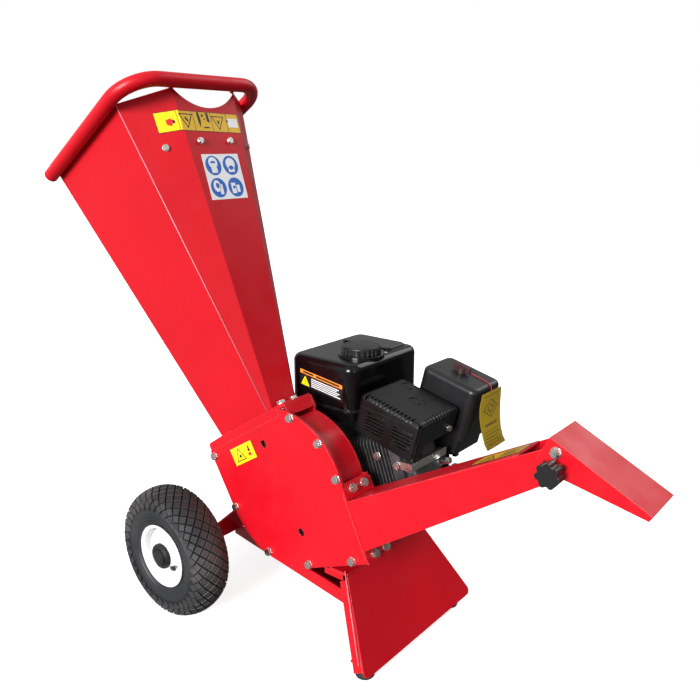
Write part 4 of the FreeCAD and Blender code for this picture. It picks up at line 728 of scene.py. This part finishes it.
def paper_tag():
    """Curled sheet that stands for the flat tag: two skins joined by a rim."""
    columns, rows = 8, 28
    wide = columns + 1
    points, faces = [], []
    for lift in (TAG_THICK, 0.0):
        for j in range(rows + 1):
            z = min(TAG_LOW + (TAG_HIGH - TAG_LOW) * j / rows, TAG_HIGH - 0.01)
            points += [tag_place(i / columns, z, lift) for i in range(wide)]
    half = wide * (rows + 1)
    for j in range(rows):
        for i in range(columns):
            a = j * wide + i
            b, c, d = a + 1, a + wide + 1, a + wide
            faces += [(a, b, c, d), (half + d, half + c, half + b, half + a)]
    rim = list(range(wide)) + [j * wide + columns for j in range(1, rows + 1)]
    rim += [rows * wide + i for i in range(columns - 1, -1, -1)]
    rim += [j * wide for j in range(rows - 1, 0, -1)]
    for a, b in zip(rim, rim[1:] + rim[:1]):
        faces.append((a, half + a, half + b, b))
    made = piece("hang_tag_paper", points, faces, tag_paper, "frame", True)
    made.data.set_sharp_from_angle(angle=math.radians(50))
    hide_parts("hang_tag")


def broken(polygons, longest):
    """Cut four-sided marks into short ones, so that they follow the curled paper."""
    out = []
    for a, b, c, d in polygons:
        parts = max(1, math.ceil(max(math.dist(a, b), math.dist(d, c)) / longest))
        for k in range(parts):
            lo, hi = k / parts, (k + 1) / parts
            out.append([tuple(p + (q - p) * t for p, q in zip(e, f)) for e, f, t in (
                (a, b, lo), (a, b, hi), (d, c, hi), (d, c, lo))])
    return out


def tag_marks():
    """Generic print on the tag: a pictogram frame above and plain rows below, as shares of its size."""
    diamond = frame_of([(0.5, 0.56), (0.86, 0.72), (0.5, 0.88), (0.14, 0.72)], 0.16)
    inside = frame_of([(0.5, 0.63), (0.68, 0.72), (0.5, 0.80), (0.32, 0.72)], 0.35)
    rows = sum((bar(0.12, 0.09 + k * 0.062, 0.88 - (k % 3) * 0.07, 0.105 + k * 0.062) for k in range(5)), [])
    lines = bar(0.2, 0.43, 0.8, 0.475) + bar(0.12, 0.93, 0.88, 0.945)
    return broken(diamond + inside + rows + lines, 0.12)


paper_tag()
label("hang_tag_print",
      lambda u, v, lift: tag_place(u, TAG_LOW + TAG_PRINT_TALL * v, TAG_THICK + lift),
      [(film_print, 0.12, tag_marks())])

STRING_RADIUS = 0.9
string_route = [cleaner_at(60, 169.3, 10.0), cleaner_at(85, 171, 10.0), cleaner_at(106, 168, 9.8),
                cleaner_at(122.5, 165, 8.8), cleaner_at(126.6, 160, -6)]
curve = bpy.data.curves.new("tag_string_cord", "CURVE")
curve.dimensions = "3D"
spline = curve.splines.new("NURBS")
spline.points.add(len(string_route) - 1)
for control, place in zip(spline.points, string_route):
    control.co = (*place, 1.0)
spline.order_u = 3
spline.use_endpoint_u = True
curve.bevel_depth = STRING_RADIUS * MM
curve.bevel_resolution = 3
curve.use_fill_caps = True
curve.resolution_u = 16
string = bpy.data.objects.new("tag_string_cord", curve)
bpy.context.scene.collection.objects.link(string)
curve.materials.append(string_red)
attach(string, "frame")
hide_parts("tag_string")


# ------------------------------------------------------------------ folds and welds in place
def fold(name, start, end, radius):
    """Rounded outside of a sheet's bend, in a lighter red that is a painted highlight."""
    points, faces = tube_along([start, start.lerp(end, 0.5), end], [radius * MM] * 3, 10)
    piece("fold_" + name, points, faces, fold_highlight_red, "frame", True)


fold("chamfer", fold_places(0.004)[0], fold_places(0.995)[0], 1.0)
fold("leg", leg_at(-0.6, -163.4, 14), leg_at(-0.6, -116.6, 161), 0.9)
weld("chute_front", chute_at(147.4, CASING_FRONT, -30), chute_at(147.4, CASING_FRONT, -152), 2.2)
for weld_name, y in (("handle_front", -155.5), ("handle_back", -18)):
    weld(weld_name, hopper_at(186, y, MOUTH_V), hopper_at(201, y, MOUTH_V + 2), 3.6)
weld("rail_front", leg_at(-4, -119.5, 106), leg_at(-4, -126.5, 128), 2.4)


# ------------------------------------------------------------------ floor and light
def pale_floor():
    """White floor that throws no colour on the object."""
    look = Look("floor", (0.90, 0.90, 0.90), 0.7)
    look.tint(look.span(look.noise(1.5, 2.0), 0.3, 0.7, 0.0, 0.05), (0.84, 0.84, 0.84))
    look.shader.inputs["Emission Color"].default_value = (1.0, 1.0, 1.0, 1.0)
    look.shader.inputs["Emission Strength"].default_value = 0.62
    bpy.ops.mesh.primitive_plane_add(size=60.0)
    made = bpy.context.object
    made.name = "floor"
    made.data.materials.append(look.material)
    made.visible_diffuse = made.visible_glossy = False


LAMP_DISTANCE = 3.2


def lamp(name, kind, toward, power, **settings):
    """Soft lamp that shines from the direction `toward`."""
    light = bpy.data.lights.new(name, kind)
    light.energy = power
    for setting, value in settings.items():
        setattr(light, setting, value)
    made = bpy.data.objects.new(name, light)
    bpy.context.scene.collection.objects.link(made)
    made.location = Vector(toward) * LAMP_DISTANCE + Vector((0, 0, 0.45))
    made.rotation_mode = "QUATERNION"
    made.rotation_quaternion = (-Vector(toward)).to_track_quat("-Z", "Y")


pale_floor()
lamp("key", "SUN", (0.14, -0.94, 0.30), 4.8, angle=math.radians(24))
lamp("fill", "SUN", (0.80, -0.15, 0.58), 0.22, angle=math.radians(60))
lamp("rim", "AREA", (0.2, 0.75, 0.62), 26.0, size=1.8)
lamp("strip", "AREA", (0.88, -0.46, 0.12), 3.5, shape="RECTANGLE", size=0.4, size_y=1.4)


def studio_world():
    """White behind the object; as light, a dim room that is brighter above and on the left."""
    made = bpy.data.worlds.new("world")
    made.use_nodes = True
    tree = made.node_tree
    tree.nodes.clear()
    place = tree.nodes.new("ShaderNodeTexCoord").outputs["Generated"]
    dot = tree.nodes.new("ShaderNodeVectorMath")
    dot.operation = "DOT_PRODUCT"
    tree.links.new(place, dot.inputs[0])
    dot.inputs[1].default_value = (-0.55, -0.35, 0.76)
    span = tree.nodes.new("ShaderNodeMapRange")
    for socket, value in (("From Min", -0.6), ("From Max", 1.0), ("To Min", 0.10), ("To Max", 0.66)):
        span.inputs[socket].default_value = value
    tree.links.new(dot.outputs["Value"], span.inputs["Value"])
    room, white = (tree.nodes.new("ShaderNodeBackground") for _ in range(2))
    tree.links.new(span.outputs[0], room.inputs["Strength"])
    seen = tree.nodes.new("ShaderNodeLightPath").outputs["Is Camera Ray"]
    mix = tree.nodes.new("ShaderNodeMixShader")
    room.inputs["Color"].default_value = white.inputs["Color"].default_value = (1.0, 1.0, 1.0, 1.0)
    for socket, source in enumerate((seen, room.outputs[0], white.outputs[0])):
        tree.links.new(source, mix.inputs[socket])
    tree.links.new(mix.outputs[0], tree.nodes.new("ShaderNodeOutputWorld").inputs["Surface"])
    return made


bpy.context.scene.world = studio_world()
bpy.context.scene.view_settings.view_transform = "Standard"
